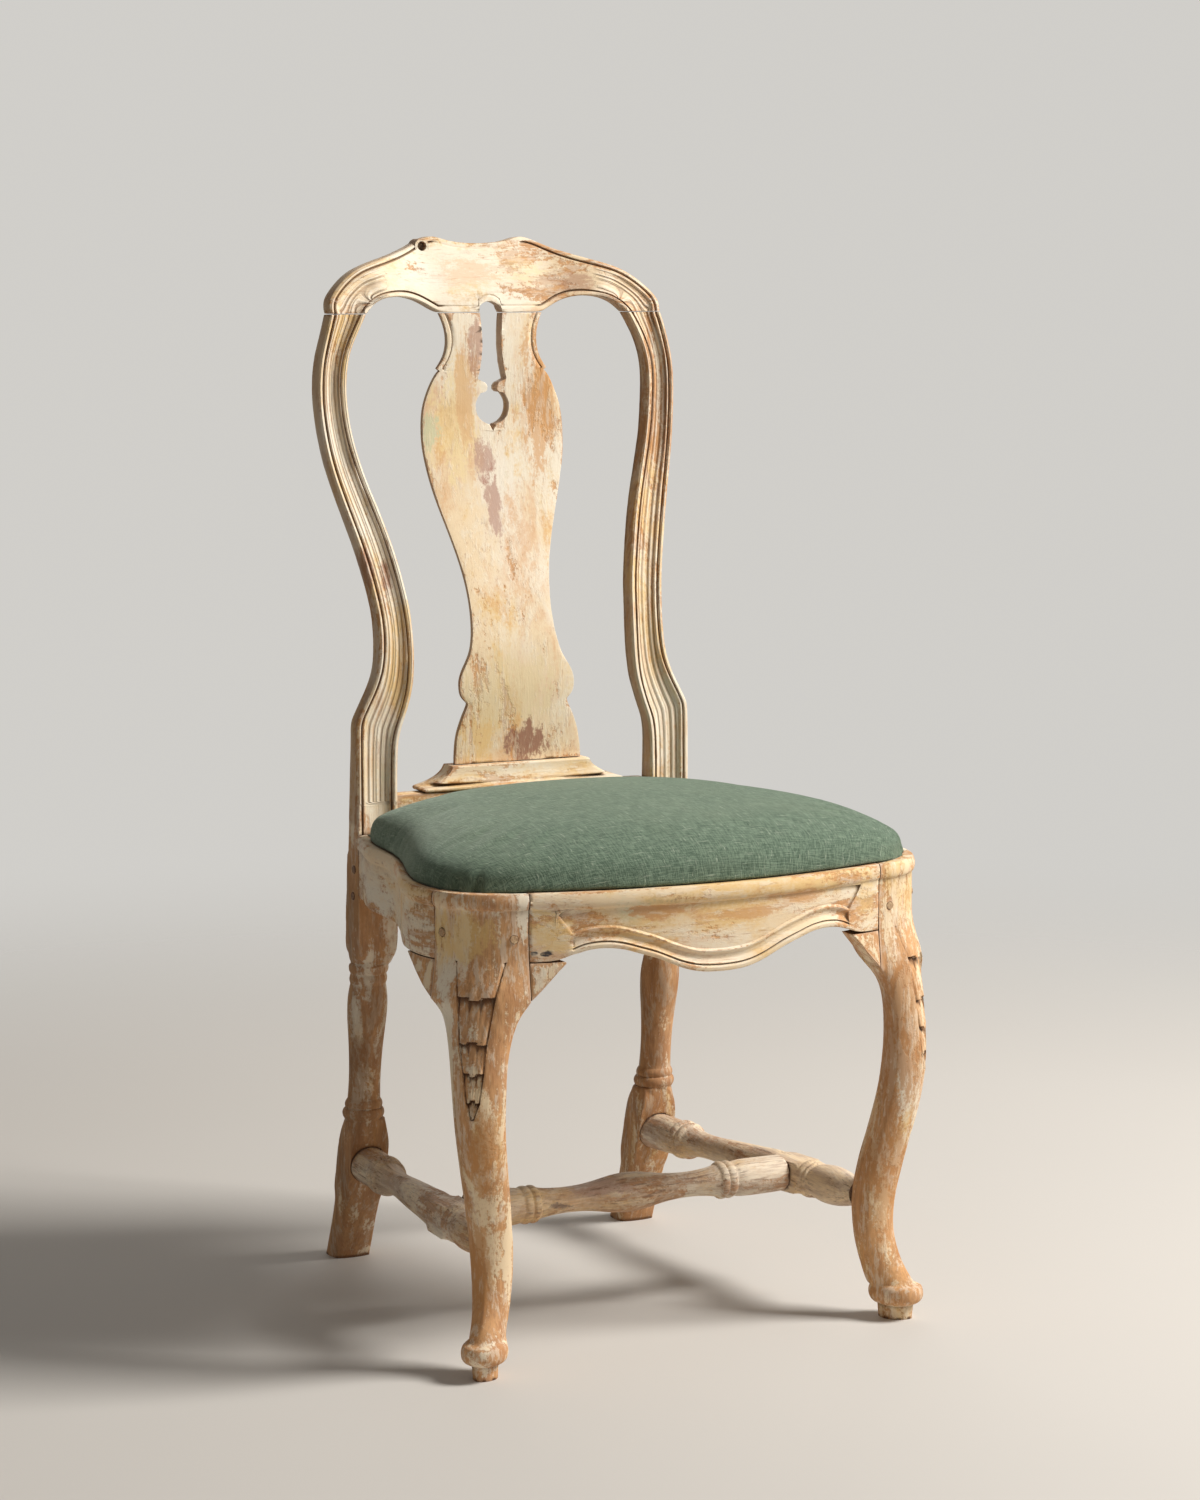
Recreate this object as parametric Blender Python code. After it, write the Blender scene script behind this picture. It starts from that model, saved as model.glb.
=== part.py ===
"""Side chair: moulded bow back with a vase splat, bowed apron, cabriole front legs, H stretcher, drop-in seat."""

import math

import bmesh
import bpy

# Sizes in metres, X across, Y from front to back, Z up from the floor
GAP = 0.0003  # left between pieces that touch
TURN = 16  # facets round a turned shape
SMOOTH = 35  # degrees, edges flatter than this are shaded smooth

# Seat frame
SEAM_X = 0.1880  # front rail's half length
SEAM_Y = -0.1870  # side rail's front end
RAIL_LOW = 0.3975
RAIL_TOP = 0.4627
RAIL_THICK = 0.028
BEAD_LOW = 0.4467  # underside of the bead round the seat
BEAD_OUT = 0.0032  # how far the bead stands out
APRON_END_Y = 0.2475  # front rail's face at its ends
APRON_BOW = 0.031  # how much further forward its middle is
BAND = 0.0226  # width of the moulding along the apron's lower edge
FIELD_IN = 0.0022  # depth of the sunk field above it
FIELD_END = 0.1465  # where field and moulding stop
RIM = 0.0095  # width of the rim left round the seat
WELL_DEEP = 0.0187  # depth of the well that holds the drop-in seat
LEDGE = RAIL_TOP - WELL_DEEP
POST_FACE = 0.1535  # front of the posts at the seat

# Drop-in seat
FIT = 0.0020  # slack round the seat's wooden frame
SLAT = 0.0127  # thickness of its frame
SLAT_WIDE = 0.040
STRAP = 0.0010  # thickness of the webbing
STRAP_WIDE = 0.050
CROWN = 0.0545  # height of the cushion over the rim
OVERHANG = 0.0045  # how far it swells over the rim

# Splat and its shoe
SHOE_LOW = 0.5000
SHOE_HIGH = 0.0253
SHOE_TOP = SHOE_LOW + SHOE_HIGH
SEAM_TOP = 0.9900  # joint below the crest rail
SPLAT_THICK = 0.0150
SLOT = 0.0129  # half width of the slot at the crest

# Front legs
LEG = 0.2240  # leg's foot stands this far out and this far forward
CORNER_X = 0.2570  # side rail's face at the leg
CORNER_BULGE = 0.0152  # how far the leg's corner stands out past the line between its two joints

# Stretchers
REAR_END = (0.1685, 0.1905, 0.1090)
FRONT_END = (LEG - 0.0180, 0.0175 - LEG, 0.1205)
BLOCK_AT = -0.0748  # where the cross stretcher meets the side stretchers
BLOCK_HALF = 0.0175
PEG = 0.0040


def clear():
    for obj in list(bpy.data.objects):
        bpy.data.objects.remove(obj)


def paint(name, colour, roughness, metallic=0.0):
    material = bpy.data.materials.new(name)
    material.use_nodes = True
    shader = material.node_tree.nodes["Principled BSDF"]
    shader.inputs["Base Color"].default_value = (*colour, 1.0)
    shader.inputs["Roughness"].default_value = roughness
    shader.inputs["Metallic"].default_value = metallic
    return material


def through(keys):
    """A smooth curve through (position, value) keys, level wherever the values turn."""
    at = [key[0] for key in keys]
    value = [key[1] for key in keys]
    rise = [(d - c) / (b - a) for a, b, c, d in zip(at, at[1:], value, value[1:])]
    middle = [0.0 if p * q <= 0 else 2 * p * q / (p + q) for p, q in zip(rise, rise[1:])]
    slope = [rise[0]] + middle + [rise[-1]]

    def curve(x):
        x = min(max(x, at[0]), at[-1])
        i = 0
        while i < len(at) - 2 and at[i + 1] <= x:
            i += 1
        step = at[i + 1] - at[i]
        u = (x - at[i]) / step
        ends = value[i] * (1 + 2 * u) * (1 - u) ** 2 + value[i + 1] * u * u * (3 - 2 * u)
        return ends + step * u * (1 - u) * ((1 - u) * slope[i] - u * slope[i + 1])

    return curve


def ease(x, low, high):
    u = min(max((x - low) / (high - low), 0.0), 1.0)
    return u * u * (3 - 2 * u)


def link(name, mesh, material):
    bmesh.ops.recalc_face_normals(mesh, faces=mesh.faces)
    data = bpy.data.meshes.new(name)
    mesh.to_mesh(data)
    mesh.free()
    data.shade_smooth()
    data.set_sharp_from_angle(angle=math.radians(SMOOTH))
    data.materials.append(material)
    obj = bpy.data.objects.new(name, data)
    bpy.context.scene.collection.objects.link(obj)
    return obj


def around(ring):
    """Share of the way round at which each point of a ring lies, seen from its middle."""
    mid = [sum(v.co[i] for v in ring) / len(ring) for i in (0, 1)]
    turn = [math.atan2(v.co[1] - mid[1], v.co[0] - mid[0]) for v in ring]
    sign = 1 if (turn[1] - turn[0]) % math.tau < math.pi else -1
    return [sign * (a - turn[0]) % math.tau for a in turn[:-1]] + [sign * (turn[-1] - turn[0]) % math.tau]


def join_rings(mesh, low, high):
    """Faces between two rings; a ring with more points is fanned into the other."""
    if len(low) == len(high):
        for i in range(len(low)):
            j = (i + 1) % len(low)
            mesh.faces.new((low[i], low[j], high[j], high[i]))
        return
    turn_low = around(low) + [math.tau]
    turn_high = around(high) + [math.tau]
    i = j = 0
    while i < len(low) or j < len(high):
        if j == len(high) or (i < len(low) and turn_low[i + 1] <= turn_high[j + 1]):
            mesh.faces.new((low[i], low[(i + 1) % len(low)], high[j % len(high)]))
            i += 1
        else:
            mesh.faces.new((low[i % len(low)], high[(j + 1) % len(high)], high[j]))
            j += 1


def solid(name, rings, material):
    """A closed solid through rings of points, flat at both ends."""
    mesh = bmesh.new()
    rows = [[mesh.verts.new(point) for point in ring] for ring in rings]
    for low, high in zip(rows, rows[1:]):
        join_rings(mesh, low, high)
    mesh.faces.new(rows[0])
    mesh.faces.new(rows[-1])
    return link(name, mesh, material)


def box(name, low, high, material):
    corners = [(low[0], low[1]), (high[0], low[1]), (high[0], high[1]), (low[0], high[1])]
    return solid(name, [[(x, y, z) for x, y in corners] for z in (low[2], high[2])], material)


def cut(obj, tool):
    change = obj.modifiers.new("cut_" + tool.name, "BOOLEAN")
    change.operation = "DIFFERENCE"
    change.solver = "EXACT"
    change.object = tool


def helper(obj):
    obj.hide_render = True
    obj.display_type = "WIRE"
    return obj


# Rear posts: foot, turned shaft and seat block below, moulded bow above

POST_OUT = through([
    (0.442, 0.1907), (0.574, 0.1905), (0.5785, 0.1895), (0.590, 0.1840), (0.615, 0.1710),
    (0.645, 0.1626), (0.680, 0.1625), (0.720, 0.1680), (0.760, 0.1765), (0.800, 0.1870),
    (0.840, 0.1970), (0.873, 0.2020), (0.905, 0.2042), (0.930, 0.2038), (0.953, 0.1995),
    (0.970, 0.1950), (SEAM_TOP, 0.1890)])
POST_IN = through([
    (0.442, 0.1455), (0.548, 0.1455), (0.562, 0.1430), (0.580, 0.1365), (0.600, 0.1300),
    (0.625, 0.1252), (0.660, 0.1245), (0.700, 0.1270), (0.743, 0.1345), (0.780, 0.1435),
    (0.820, 0.1560), (0.856, 0.1660), (0.888, 0.1710), (0.920, 0.1727), (0.945, 0.1700),
    (0.962, 0.1633), (0.975, 0.1570), (SEAM_TOP, 0.1485)])
BACK_FRONT = through([
    (0.442, POST_FACE), (0.600, POST_FACE), (0.645, 0.1550), (0.680, 0.1590), (0.710, 0.1670),
    (0.745, 0.1760), (0.777, 0.1865), (0.810, 0.1970), (0.840, 0.2045), (0.873, 0.2095),
    (0.905, 0.2122), (0.970, 0.2125), (0.985, 0.2135), (1.000, 0.2175), (1.020, 0.2260),
    (1.040, 0.2355), (1.070, 0.2510)])
POST_DEEP = through([(0.442, 0.0300), (0.500, 0.0265), (0.560, 0.0215), (0.600, 0.0215),
                     (0.700, 0.0225), (SEAM_TOP, 0.0220)])

# The moulding's points from each edge inwards: distance from the edge, depth
FROM_OUTER = [(0.0, 0.0018), (0.0016, 0.0), (0.0044, 0.0002), (0.0058, 0.0030), (0.0070, 0.0003),
              (0.0090, 0.0006), (0.0106, 0.0030)]
FROM_INNER = [(0.0096, 0.0026), (0.0080, 0.0004), (0.0068, 0.0028), (0.0054, 0.0002), (0.0018, 0.0),
              (0.0, 0.0018)]
COVE = [(0.22, 0.0046), (0.50, 0.0056), (0.78, 0.0046)]
BACK_ROUND = 0.0040  # rounding of the back corners


def moulded(outer, inner, deep, strength, flute=1.0):
    """Points of the moulding from the outer to the inner edge, then along the back: (share across, depth)."""
    wide = math.dist(outer, inner)
    left = FROM_OUTER[-1][0]
    right = wide - FROM_INNER[0][0]
    points = [(d / wide, h * (strength if i < 4 else strength * flute)) for i, (d, h) in enumerate(FROM_OUTER)]
    points += [((left + (right - left) * s) / wide, h * strength * flute) for s, h in COVE]
    points += [(1 - d / wide, h * (strength if i > 1 else strength * flute)) for i, (d, h) in enumerate(FROM_INNER)]
    back = BACK_ROUND / wide
    points += [(1.0, deep - BACK_ROUND), (1 - back, deep), (back, deep), (0.0, deep - BACK_ROUND)]
    return points


def post_upper_ring(z):
    outer, inner = POST_OUT(z), POST_IN(z)
    strength = ease(z, 0.445, 0.47)
    shape = moulded((outer, 0.0), (inner, 0.0), POST_DEEP(z), strength)
    return [(outer + (inner - outer) * s, BACK_FRONT(z) + h, z) for s, h in shape]


def blocked(z, mid, half, bevel, lathe):
    """A square ring with its corners bevelled and turned off at the lathe's radius."""
    ring = []
    for k in range(TURN):
        a = math.tau * (0.125 + k / TURN)
        c, s = math.cos(a), math.sin(a)
        m = max(abs(c), abs(s))
        keep = min(1.0, (2 - bevel) * m / (abs(c) + abs(s)))
        x, y = half[0] * c / m * keep, half[1] * s / m * keep
        if math.hypot(x, y) > lathe:
            x, y = lathe * c, lathe * s
        ring.append((mid[0] + x, mid[1] + y, z))
    return ring


FOOT_Y = through([(0.0, 0.2465), (0.065, 0.2190), (0.094, 0.2090), (0.143, 0.1970), (0.165, 0.1955)])
SEAT_Y = through([(0.325, 0.1765), (0.346, 0.1740), (0.397, 0.1713), (0.4385, 0.1690)])
SEAT_HALF_Y = through([(0.325, 0.0190), (0.346, 0.0182), (0.397, 0.0173), (0.4385, 0.0155)])
BLOCK_X = 0.16865
BLOCK_HALF_X = 0.02165
SEAT_X = 0.1681
SEAT_HALF_X = 0.0226
SHAFT_X = 0.1705
SHAFT = [  # height, radius
    (0.1585, 0.0206), (0.1600, 0.0216), (0.1630, 0.0227), (0.1660, 0.0226), (0.1688, 0.0212),
    (0.1698, 0.0196), (0.1720, 0.0204), (0.1750, 0.0204), (0.1778, 0.0190), (0.1795, 0.0177),
    (0.1950, 0.0169), (0.2200, 0.0173), (0.2400, 0.0186), (0.2580, 0.0204), (0.2720, 0.0215),
    (0.2860, 0.0216), (0.2970, 0.0203), (0.3035, 0.0190), (0.3060, 0.0200), (0.3095, 0.0205),
    (0.3128, 0.0195), (0.3142, 0.0190), (0.3165, 0.0206), (0.3200, 0.0214), (0.3235, 0.0211)]


def post_lower_rings():
    wide = 1.0
    rings = []
    for z, bevel, lathe in ((0.0, 0.34, wide), (0.058, 0.34, wide), (0.068, 0.26, wide), (0.080, 0.05, wide),
                            (0.104, 0.05, wide), (0.130, 0.05, 0.0295), (0.141, 0.05, 0.0272),
                            (0.150, 0.05, 0.0245), (0.1570, 0.05, 0.0215)):
        rings.append(blocked(z, (BLOCK_X, FOOT_Y(z)), (BLOCK_HALF_X, 0.0190), bevel, lathe))
    low, high = SHAFT[0][0], SHAFT[-1][0]
    for z, radius in SHAFT:
        y = FOOT_Y(low) + (SEAT_Y(high) - FOOT_Y(low)) * (z - low) / (high - low)
        rings.append(blocked(z, (SHAFT_X, y), (wide, wide), 0.0, radius))
    for z, lathe in ((0.3255, 0.0212), (0.3310, 0.0245), (0.3380, 0.0278), (0.3450, wide), (0.397, wide),
                     (0.4385, wide)):
        rings.append(blocked(z, (SEAT_X, SEAT_Y(z)), (SEAT_HALF_X, SEAT_HALF_Y(z)), 0.05, lathe))
    return rings


def rear_post(name, side, wood):
    heights = (0.4430, 0.470, 0.520, 0.555, 0.570, 0.5775, 0.585, 0.598, 0.613, 0.632, 0.655, 0.680, 0.705,
               0.730, 0.755, 0.780, 0.805, 0.830, 0.855, 0.880, 0.903, 0.923, 0.941, 0.956, 0.970,
               0.981, SEAM_TOP - GAP)
    upper = [post_upper_ring(z) for z in heights]
    first = 2 * TURN // 8  # the lower rings start at the rear outer corner, the upper ones at the front
    lower = []
    for ring in post_lower_rings():
        turned = [ring[(-k - first) % TURN] for k in range(TURN)]
        lower.append(turned)
    rings = lower + upper
    return solid(name, [[(side * x, y, z) for x, y, z in ring] for ring in rings], wood)


# Crest rail

HOLLOW = 0.0195  # the back's middle lies this far behind its posts


def crest_y(x, z):
    return BACK_FRONT(z) + HOLLOW * (1 - ease(abs(x), 0.06, 0.15))


# Half of the crest as pairs of points (upper edge, lower edge) from the joint to the middle
CREST = [
    ((0.1890, SEAM_TOP), (0.1485, SEAM_TOP)), ((0.1892, 0.9985), (0.1460, 0.9925)),
    ((0.1872, 1.0045), (0.1432, 0.9952)), ((0.1835, 1.0095), (0.1400, 0.9980)),
    ((0.1780, 1.0155), (0.1360, 1.0008)), ((0.1705, 1.0225), (0.1308, 1.0032)),
    ((0.1600, 1.0305), (0.1240, 1.0054)), ((0.1470, 1.0375), (0.1155, 1.0066)),
    ((0.1270, 1.0437), (0.1055, 1.0069)), ((0.1050, 1.0498), (0.0950, 1.0060)),
    ((0.0843, 1.0567), (0.0855, 1.0036)), ((0.0711, 1.0630), (0.0765, 1.0000)),
    ((0.0600, 1.0677), (0.0685, 0.9955)), ((0.0530, 1.0690), (0.0590, SEAM_TOP)),
    ((0.0470, 1.0688), (0.0500, SEAM_TOP)), ((0.0370, 1.0655), (0.0380, SEAM_TOP)),
    ((0.0250, 1.0633), (0.0250, SEAM_TOP)), ((0.0140, 1.0624), (SLOT + 0.0001, SEAM_TOP)),
    ((0.0130, 1.0623), (0.0118, 0.9965)), ((0.0070, 1.0621), (0.0070, 1.0005)), ((0.0, 1.0620), (0.0, 1.0020))]
CREST_STOP = 7  # from this pair inwards the flutes have run out
CREST_DEEP = through([(0.0, 0.0190), (0.06, 0.0190), (0.15, 0.0215), (0.20, 0.0220)])


def crest_ring(pair, index, side):
    outer, inner = pair
    flute = 1.0 if index < CREST_STOP else 0.0
    strength = 1.0 if index <= 13 else 0.25
    ring = []
    for s, h in moulded(outer, inner, CREST_DEEP(outer[0]), strength, flute):
        x = outer[0] + (inner[0] - outer[0]) * s
        z = outer[1] + (inner[1] - outer[1]) * s
        ring.append((side * x, crest_y(x, z) + h, z))
    return ring


def crest_rail(wood):
    pairs = [(upper, (lower[0], lower[1] + GAP / 2 if lower[1] == SEAM_TOP else lower[1])) for upper, lower in CREST]
    pairs[0] = ((CREST[0][0][0], SEAM_TOP + GAP / 2), pairs[0][1])
    right = [crest_ring(pair, i, 1) for i, pair in enumerate(pairs)]
    left = [crest_ring(pair, i, -1) for i, pair in enumerate(pairs[:-1])]
    return solid("crest_rail", right + left[::-1], wood)


def ear_scroll(crest, wood):
    """The rolled scroll at the left ear, hollow at its front end; it is carved from the crest rail itself."""
    x, z, radius, hollow = -0.0655, 1.0588, 0.0082, 0.0050
    front = crest_y(x, z)
    ends = (x, front - 0.0016, z), (x, front + 0.0165, z)
    roll = helper(solid("scroll_roll", cylinder(ends[0], ends[1], radius, TURN), wood))
    well = helper(solid("scroll_hollow_tool", cylinder((x, front - 0.01, z), (x, front + 0.0070, z), hollow, 10), None))
    change = crest.modifiers.new("scroll", "BOOLEAN")
    change.operation = "UNION"
    change.solver = "EXACT"
    change.object = roll
    cut(crest, well)


# Vase splat

SPLAT_HALF = through([
    (SHOE_TOP + GAP, 0.0724), (0.551, 0.0712), (0.564, 0.0669), (0.5755, 0.0624), (0.585, 0.0576), (0.588, 0.0572),
    (0.5935, 0.0632), (0.601, 0.0657), (0.613, 0.0661), (0.626, 0.0596), (0.637, 0.0526), (0.6495, 0.0492),
    (0.662, 0.0470), (0.680, 0.0459), (0.699, 0.0465), (0.7235, 0.0493), (0.748, 0.0550), (0.7725, 0.0620),
    (0.797, 0.0695), (0.822, 0.0760), (0.847, 0.0804), (0.866, 0.0812), (0.8845, 0.0800), (0.896, 0.0778),
    (0.908, 0.0736), (0.918, 0.0690), (0.9275, 0.0632), (0.9300, 0.0600), (0.9325, 0.0630), (0.9375, 0.0592),
    (0.946, 0.0539), (0.958, 0.0512), (0.971, 0.0518), (0.982, 0.0552), (SEAM_TOP, 0.0590)])
SPLAT_FRONT = through([
    (SHOE_TOP + GAP, 0.1728), (0.600, 0.1730), (0.625, 0.1750), (0.650, 0.1784), (0.675, 0.1850), (0.700, 0.1915),
    (0.7235, 0.1994), (0.748, 0.2070), (0.7725, 0.2136), (0.800, 0.2205), (0.830, 0.2255), (0.860, 0.2297),
    (0.885, 0.2318), (0.958, 0.2320), (SEAM_TOP, 0.2340)])
SPLAT_BEVEL = 0.0040
NECK_LINE = 0.0052  # incised line along the neck, this far from its edge


def splat_ring(z):
    half, front = SPLAT_HALF(z), SPLAT_FRONT(z)
    line = 0.0013 if z > 0.930 else 0.0
    across = [(-half, 0.0006), (-half + NECK_LINE, 0.0), (-half + NECK_LINE + 0.0009, line),
              (-half + NECK_LINE + 0.0018, 0.0)]
    back = [(half, 0.0070), (half - SPLAT_BEVEL, SPLAT_THICK), (SPLAT_BEVEL - half, SPLAT_THICK), (-half, 0.0070)]
    shape = across + [(-x, h) for x, h in across[::-1]] + back
    return [(x, front + h, z) for x, h in shape]


def keyhole_tool():
    round_mid, round_half = 0.8925, 0.0192
    half = [(0.0, 0.8670), (0.0035, 0.8742)]
    for a in (-58, -35, -12, 12, 32, 48):
        half.append((round_half * math.cos(math.radians(a)), round_mid + round_half * math.sin(math.radians(a))))
    half += [(0.0078, 0.9075), (0.0052, 0.9100), (0.0052, 0.9140), (0.0078, 0.9175), (0.0130, 0.9195),
             (0.0164, 0.9215), (0.0150, 0.9260), (0.0124, 0.9400), (0.0108, 0.9560), (0.0112, 0.9700),
             (SLOT, SEAM_TOP), (SLOT, SEAM_TOP + 0.01)]
    outline = half + [(-x, z) for x, z in half[:0:-1]]
    rings = [[(x, y, z) for x, z in outline] for y in (0.20, 0.28)]
    return helper(solid("keyhole_tool", rings, None))


def splat(wood):
    heights = [SHOE_TOP + GAP, 0.551, 0.564, 0.5755, 0.585, 0.588, 0.591, 0.595, 0.601, 0.613, 0.626, 0.637, 0.6495,
               0.662, 0.680, 0.699, 0.7235, 0.748, 0.7725, 0.797, 0.822, 0.847, 0.866, 0.8845, 0.896,
               0.908, 0.918, 0.9275, 0.9300, 0.9325, 0.9375, 0.946, 0.958, 0.971, 0.982, SEAM_TOP - GAP / 2]
    obj = solid("splat", [splat_ring(z) for z in heights], wood)
    cut(obj, keyhole_tool())
    return obj


def splat_shoe(wood):
    rings = []
    for share, half, front in ((0.012, 0.1120, 0.1570), (0.08, 0.1140, 0.1555), (0.16, 0.1140, 0.1555),
                               (0.22, 0.1120, 0.1570), (0.26, 0.1060, 0.1590), (0.40, 0.0950, 0.1615),
                               (0.60, 0.0860, 0.1632), (0.79, 0.0810, 0.1640), (0.94, 0.0792, 0.1640),
                               (1.00, 0.0780, 0.1652)):
        z = SHOE_LOW + SHOE_HIGH * share
        back = 0.1900
        rings.append([(-half, front, z), (half, front, z), (half, back, z), (-half, back, z)])
    return solid("splat_shoe", rings, wood)


# Seat rails

def apron_face(x):
    """Y of the front rail's face."""
    return -APRON_END_Y - APRON_BOW * (1 - min(1.0, abs(x) / SEAM_X) ** 2)


SIDE_FACE = through([
    (-0.193, 0.2555), (SEAM_Y, CORNER_X), (-0.172, 0.2610), (-0.152, 0.2625), (-0.127, 0.2605), (-0.079, 0.2440),
    (-0.026, 0.2240), (0.020, 0.2120), (0.050, 0.2106), (0.078, 0.2105), (0.100, 0.2050), (0.1500, 0.1905),
    (0.160, 0.1900)])
APRON_LOW = through([
    (0.0, 0.3786), (0.022, 0.3797), (0.046, 0.3865), (0.067, 0.3958), (0.085, 0.4015), (0.102, 0.4067),
    (0.118, 0.4086), (0.134, 0.4073), (0.145, 0.4035), (0.152, 0.3985), (0.156, RAIL_LOW), (0.19, RAIL_LOW)])

# The bead's section: how far it stands out, height above its underside
BEAD = [(share * BEAD_OUT, up) for share, up in
        ((0.0, 0.0), (0.50, 0.0014), (0.88, 0.0040), (1.0, 0.0080), (0.81, 0.0122), (0.25, RAIL_TOP - BEAD_LOW))]


def end_shift(z):
    """The field's ends bulge towards its middle."""
    return 0.0115 * ((z - 0.4165) / 0.024) ** 2


def front_rail_ring(x, sunk, moved):
    side = math.copysign(1.0, x)
    low = APRON_LOW(abs(x))
    line = low + BAND
    back = RAIL_THICK
    sunk_in = FIELD_IN * sunk
    shape = [(back, RAIL_TOP)] + [(-out, BEAD_LOW + up) for out, up in BEAD[::-1]]
    shape += [(sunk_in, BEAD_LOW - 0.0012), (sunk_in, line + 0.0004)]
    shape += [(0.0026 * sunk, line - 0.0006), (0.0, line - 0.0024), (0.0004 * sunk, line - 0.0040),
              (0.0030 * sunk, line - 0.0065), (0.0034 * sunk, line - 0.0105), (0.0014 * sunk, line - 0.0140),
              (0.0, line - 0.0148), (0.0020 * sunk, line - 0.0160), (-0.0006 * sunk, line - 0.0182),
              (0.0, low + 0.0008)]
    shape += [(0.0012, low), (back, low + 0.0020)]
    ring = []
    for into, z in shape:
        at = x + side * (end_shift(z) if moved and z < BEAD_LOW and into < back else 0.0)
        ring.append((at, apron_face(at) + into, z))
    return ring


def front_rail(wood):
    half = [(0.0, 1, 0), (0.011, 1, 0), (0.022, 1, 0), (0.034, 1, 0), (0.046, 1, 0), (0.057, 1, 0), (0.067, 1, 0),
            (0.076, 1, 0), (0.085, 1, 0), (0.094, 1, 0), (0.102, 1, 0), (0.110, 1, 0), (0.118, 1, 0),
            (0.126, 1, 0), (0.134, 1, 0), (0.1405, 1, 0), (FIELD_END, 1, 1), (FIELD_END + 0.0010, 0, 1),
            (0.1640, 0, 0), (SEAM_X - GAP, 0, 0)]
    places = [(-x, sunk, moved) for x, sunk, moved in half[:0:-1]] + half
    return solid("front_rail", [front_rail_ring(*place) for place in places], wood)


def side_rail_ring(y, side):
    face = SIDE_FACE(y)
    shape = [(face - RAIL_THICK, RAIL_LOW), (face - 0.0012, RAIL_LOW), (face, RAIL_LOW + 0.0012)]
    shape += [(face + out, BEAD_LOW + up) for out, up in BEAD] + [(face - RAIL_THICK, RAIL_TOP)]
    return [(side * x, y, z) for x, z in shape]


def side_rail(name, side, wood):
    stops = [SEAM_Y + GAP, -0.172, -0.157, -0.142, -0.127, -0.108, -0.090, -0.072, -0.054, -0.036, -0.018, 0.0,
             0.020, 0.050, 0.078, 0.100, 0.118, 0.136, POST_FACE - 0.0005]
    return solid(name, [side_rail_ring(y, side) for y in stops], wood)


def rear_rail(wood):
    """Its thick lower half carries the seat; its tall upper half carries the shoe."""
    back, thin = 0.1830, 0.0250
    shape = [(back - thin, SHOE_LOW), (back, SHOE_LOW), (back, RAIL_LOW), (POST_FACE - 0.0190, RAIL_LOW),
             (POST_FACE - 0.0190, LEDGE), (back - thin, LEDGE)]
    half = SEAT_X - SEAT_HALF_X - GAP
    return solid("rear_rail", [[(x, y, z) for y, z in shape] for x in (-half, half)], wood)


def well_outline(inset):
    """Half the plan of the seat's opening, from the front's middle to the back, this far inside the faces."""
    points = [(x, apron_face(x) + inset) for x in (0.0, 0.030, 0.060, 0.090, 0.120, 0.150, 0.175)]
    points += [(corner_point(k)[0] - inset * 0.70, corner_point(k)[1] + inset * 0.70) for k in (-3, -1, 1, 3)]
    points += [(SIDE_FACE(y) - inset, y) for y in
               (-0.172, -0.152, -0.127, -0.100, -0.072, -0.040, -0.010, 0.020, 0.050, 0.085, 0.110, 0.130)]
    back = POST_FACE - 0.0035
    points += [(SIDE_FACE(0.148) - inset, back)] + [(x, back) for x in (0.160, 0.130, 0.080, 0.030)]
    return points


def both_halves(points):
    return points + [(-x, y) for x, y in points[::-1] if x > 0]


def seat_well_tool():
    outline = both_halves(well_outline(RIM))
    return helper(solid("seat_well_tool", [[(x, y, z) for x, y in outline] for z in (LEDGE, 0.52)], None))


# Front legs, worked in the leg's own diagonal: s outwards, t towards the side rail

def diagonal(s, t):
    return LEG + (s + t) / math.sqrt(2), -LEG + (t - s) / math.sqrt(2)


def across(x, y):
    return (x - LEG - y - LEG) / math.sqrt(2), (x - LEG + y + LEG) / math.sqrt(2)


def corner_point(k):
    """Points -4 to 4 of the rounded corner between the front rail's and the side rail's faces."""
    s0, t0 = across(SEAM_X + GAP, -APRON_END_Y)
    s1, t1 = across(CORNER_X, SEAM_Y)
    u = (k + 4) / 8
    bulge = CORNER_BULGE * (1 - abs(2 * u - 1) ** 2.2)
    return diagonal(s0 + (s1 - s0) * u + bulge, t0 + (t1 - t0) * u)


def top_ring(z, out, knee, inner):
    """The leg's top: rounded outside, square inside where the rails join; out moves the outside, knee its middle."""
    front = [corner_point(k) for k in range(-4, 5)]
    ring = []
    for k, (x, y) in enumerate(front):
        s, t = across(x, y)
        away = out + knee * (1 - ((k - 4) / 4) ** 2)
        ring.append(diagonal(s + away * math.cos(t / 0.06), t + away * math.sin(t / 0.06)))
    ring[0] = (SEAM_X + GAP, -APRON_END_Y - out)
    ring[-1] = (CORNER_X + out, SEAM_Y - GAP)
    x0, y0 = SEAM_X + GAP, SEAM_Y - GAP
    s_in, t_in = across(x0, y0)
    x_in, y_in = diagonal(s_in + inner, t_in)
    ring += [(CORNER_X - RAIL_THICK, y0), ((CORNER_X - RAIL_THICK) * 0.5 + x_in * 0.5, y0 * 0.5 + y_in * 0.5),
             (x_in, y_in), (x_in * 0.5 + x0 * 0.5, y_in * 0.5 + (RAIL_THICK - APRON_END_Y) * 0.5),
             (x0, RAIL_THICK - APRON_END_Y)]
    return [(x, y, z) for x, y in ring]


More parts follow.
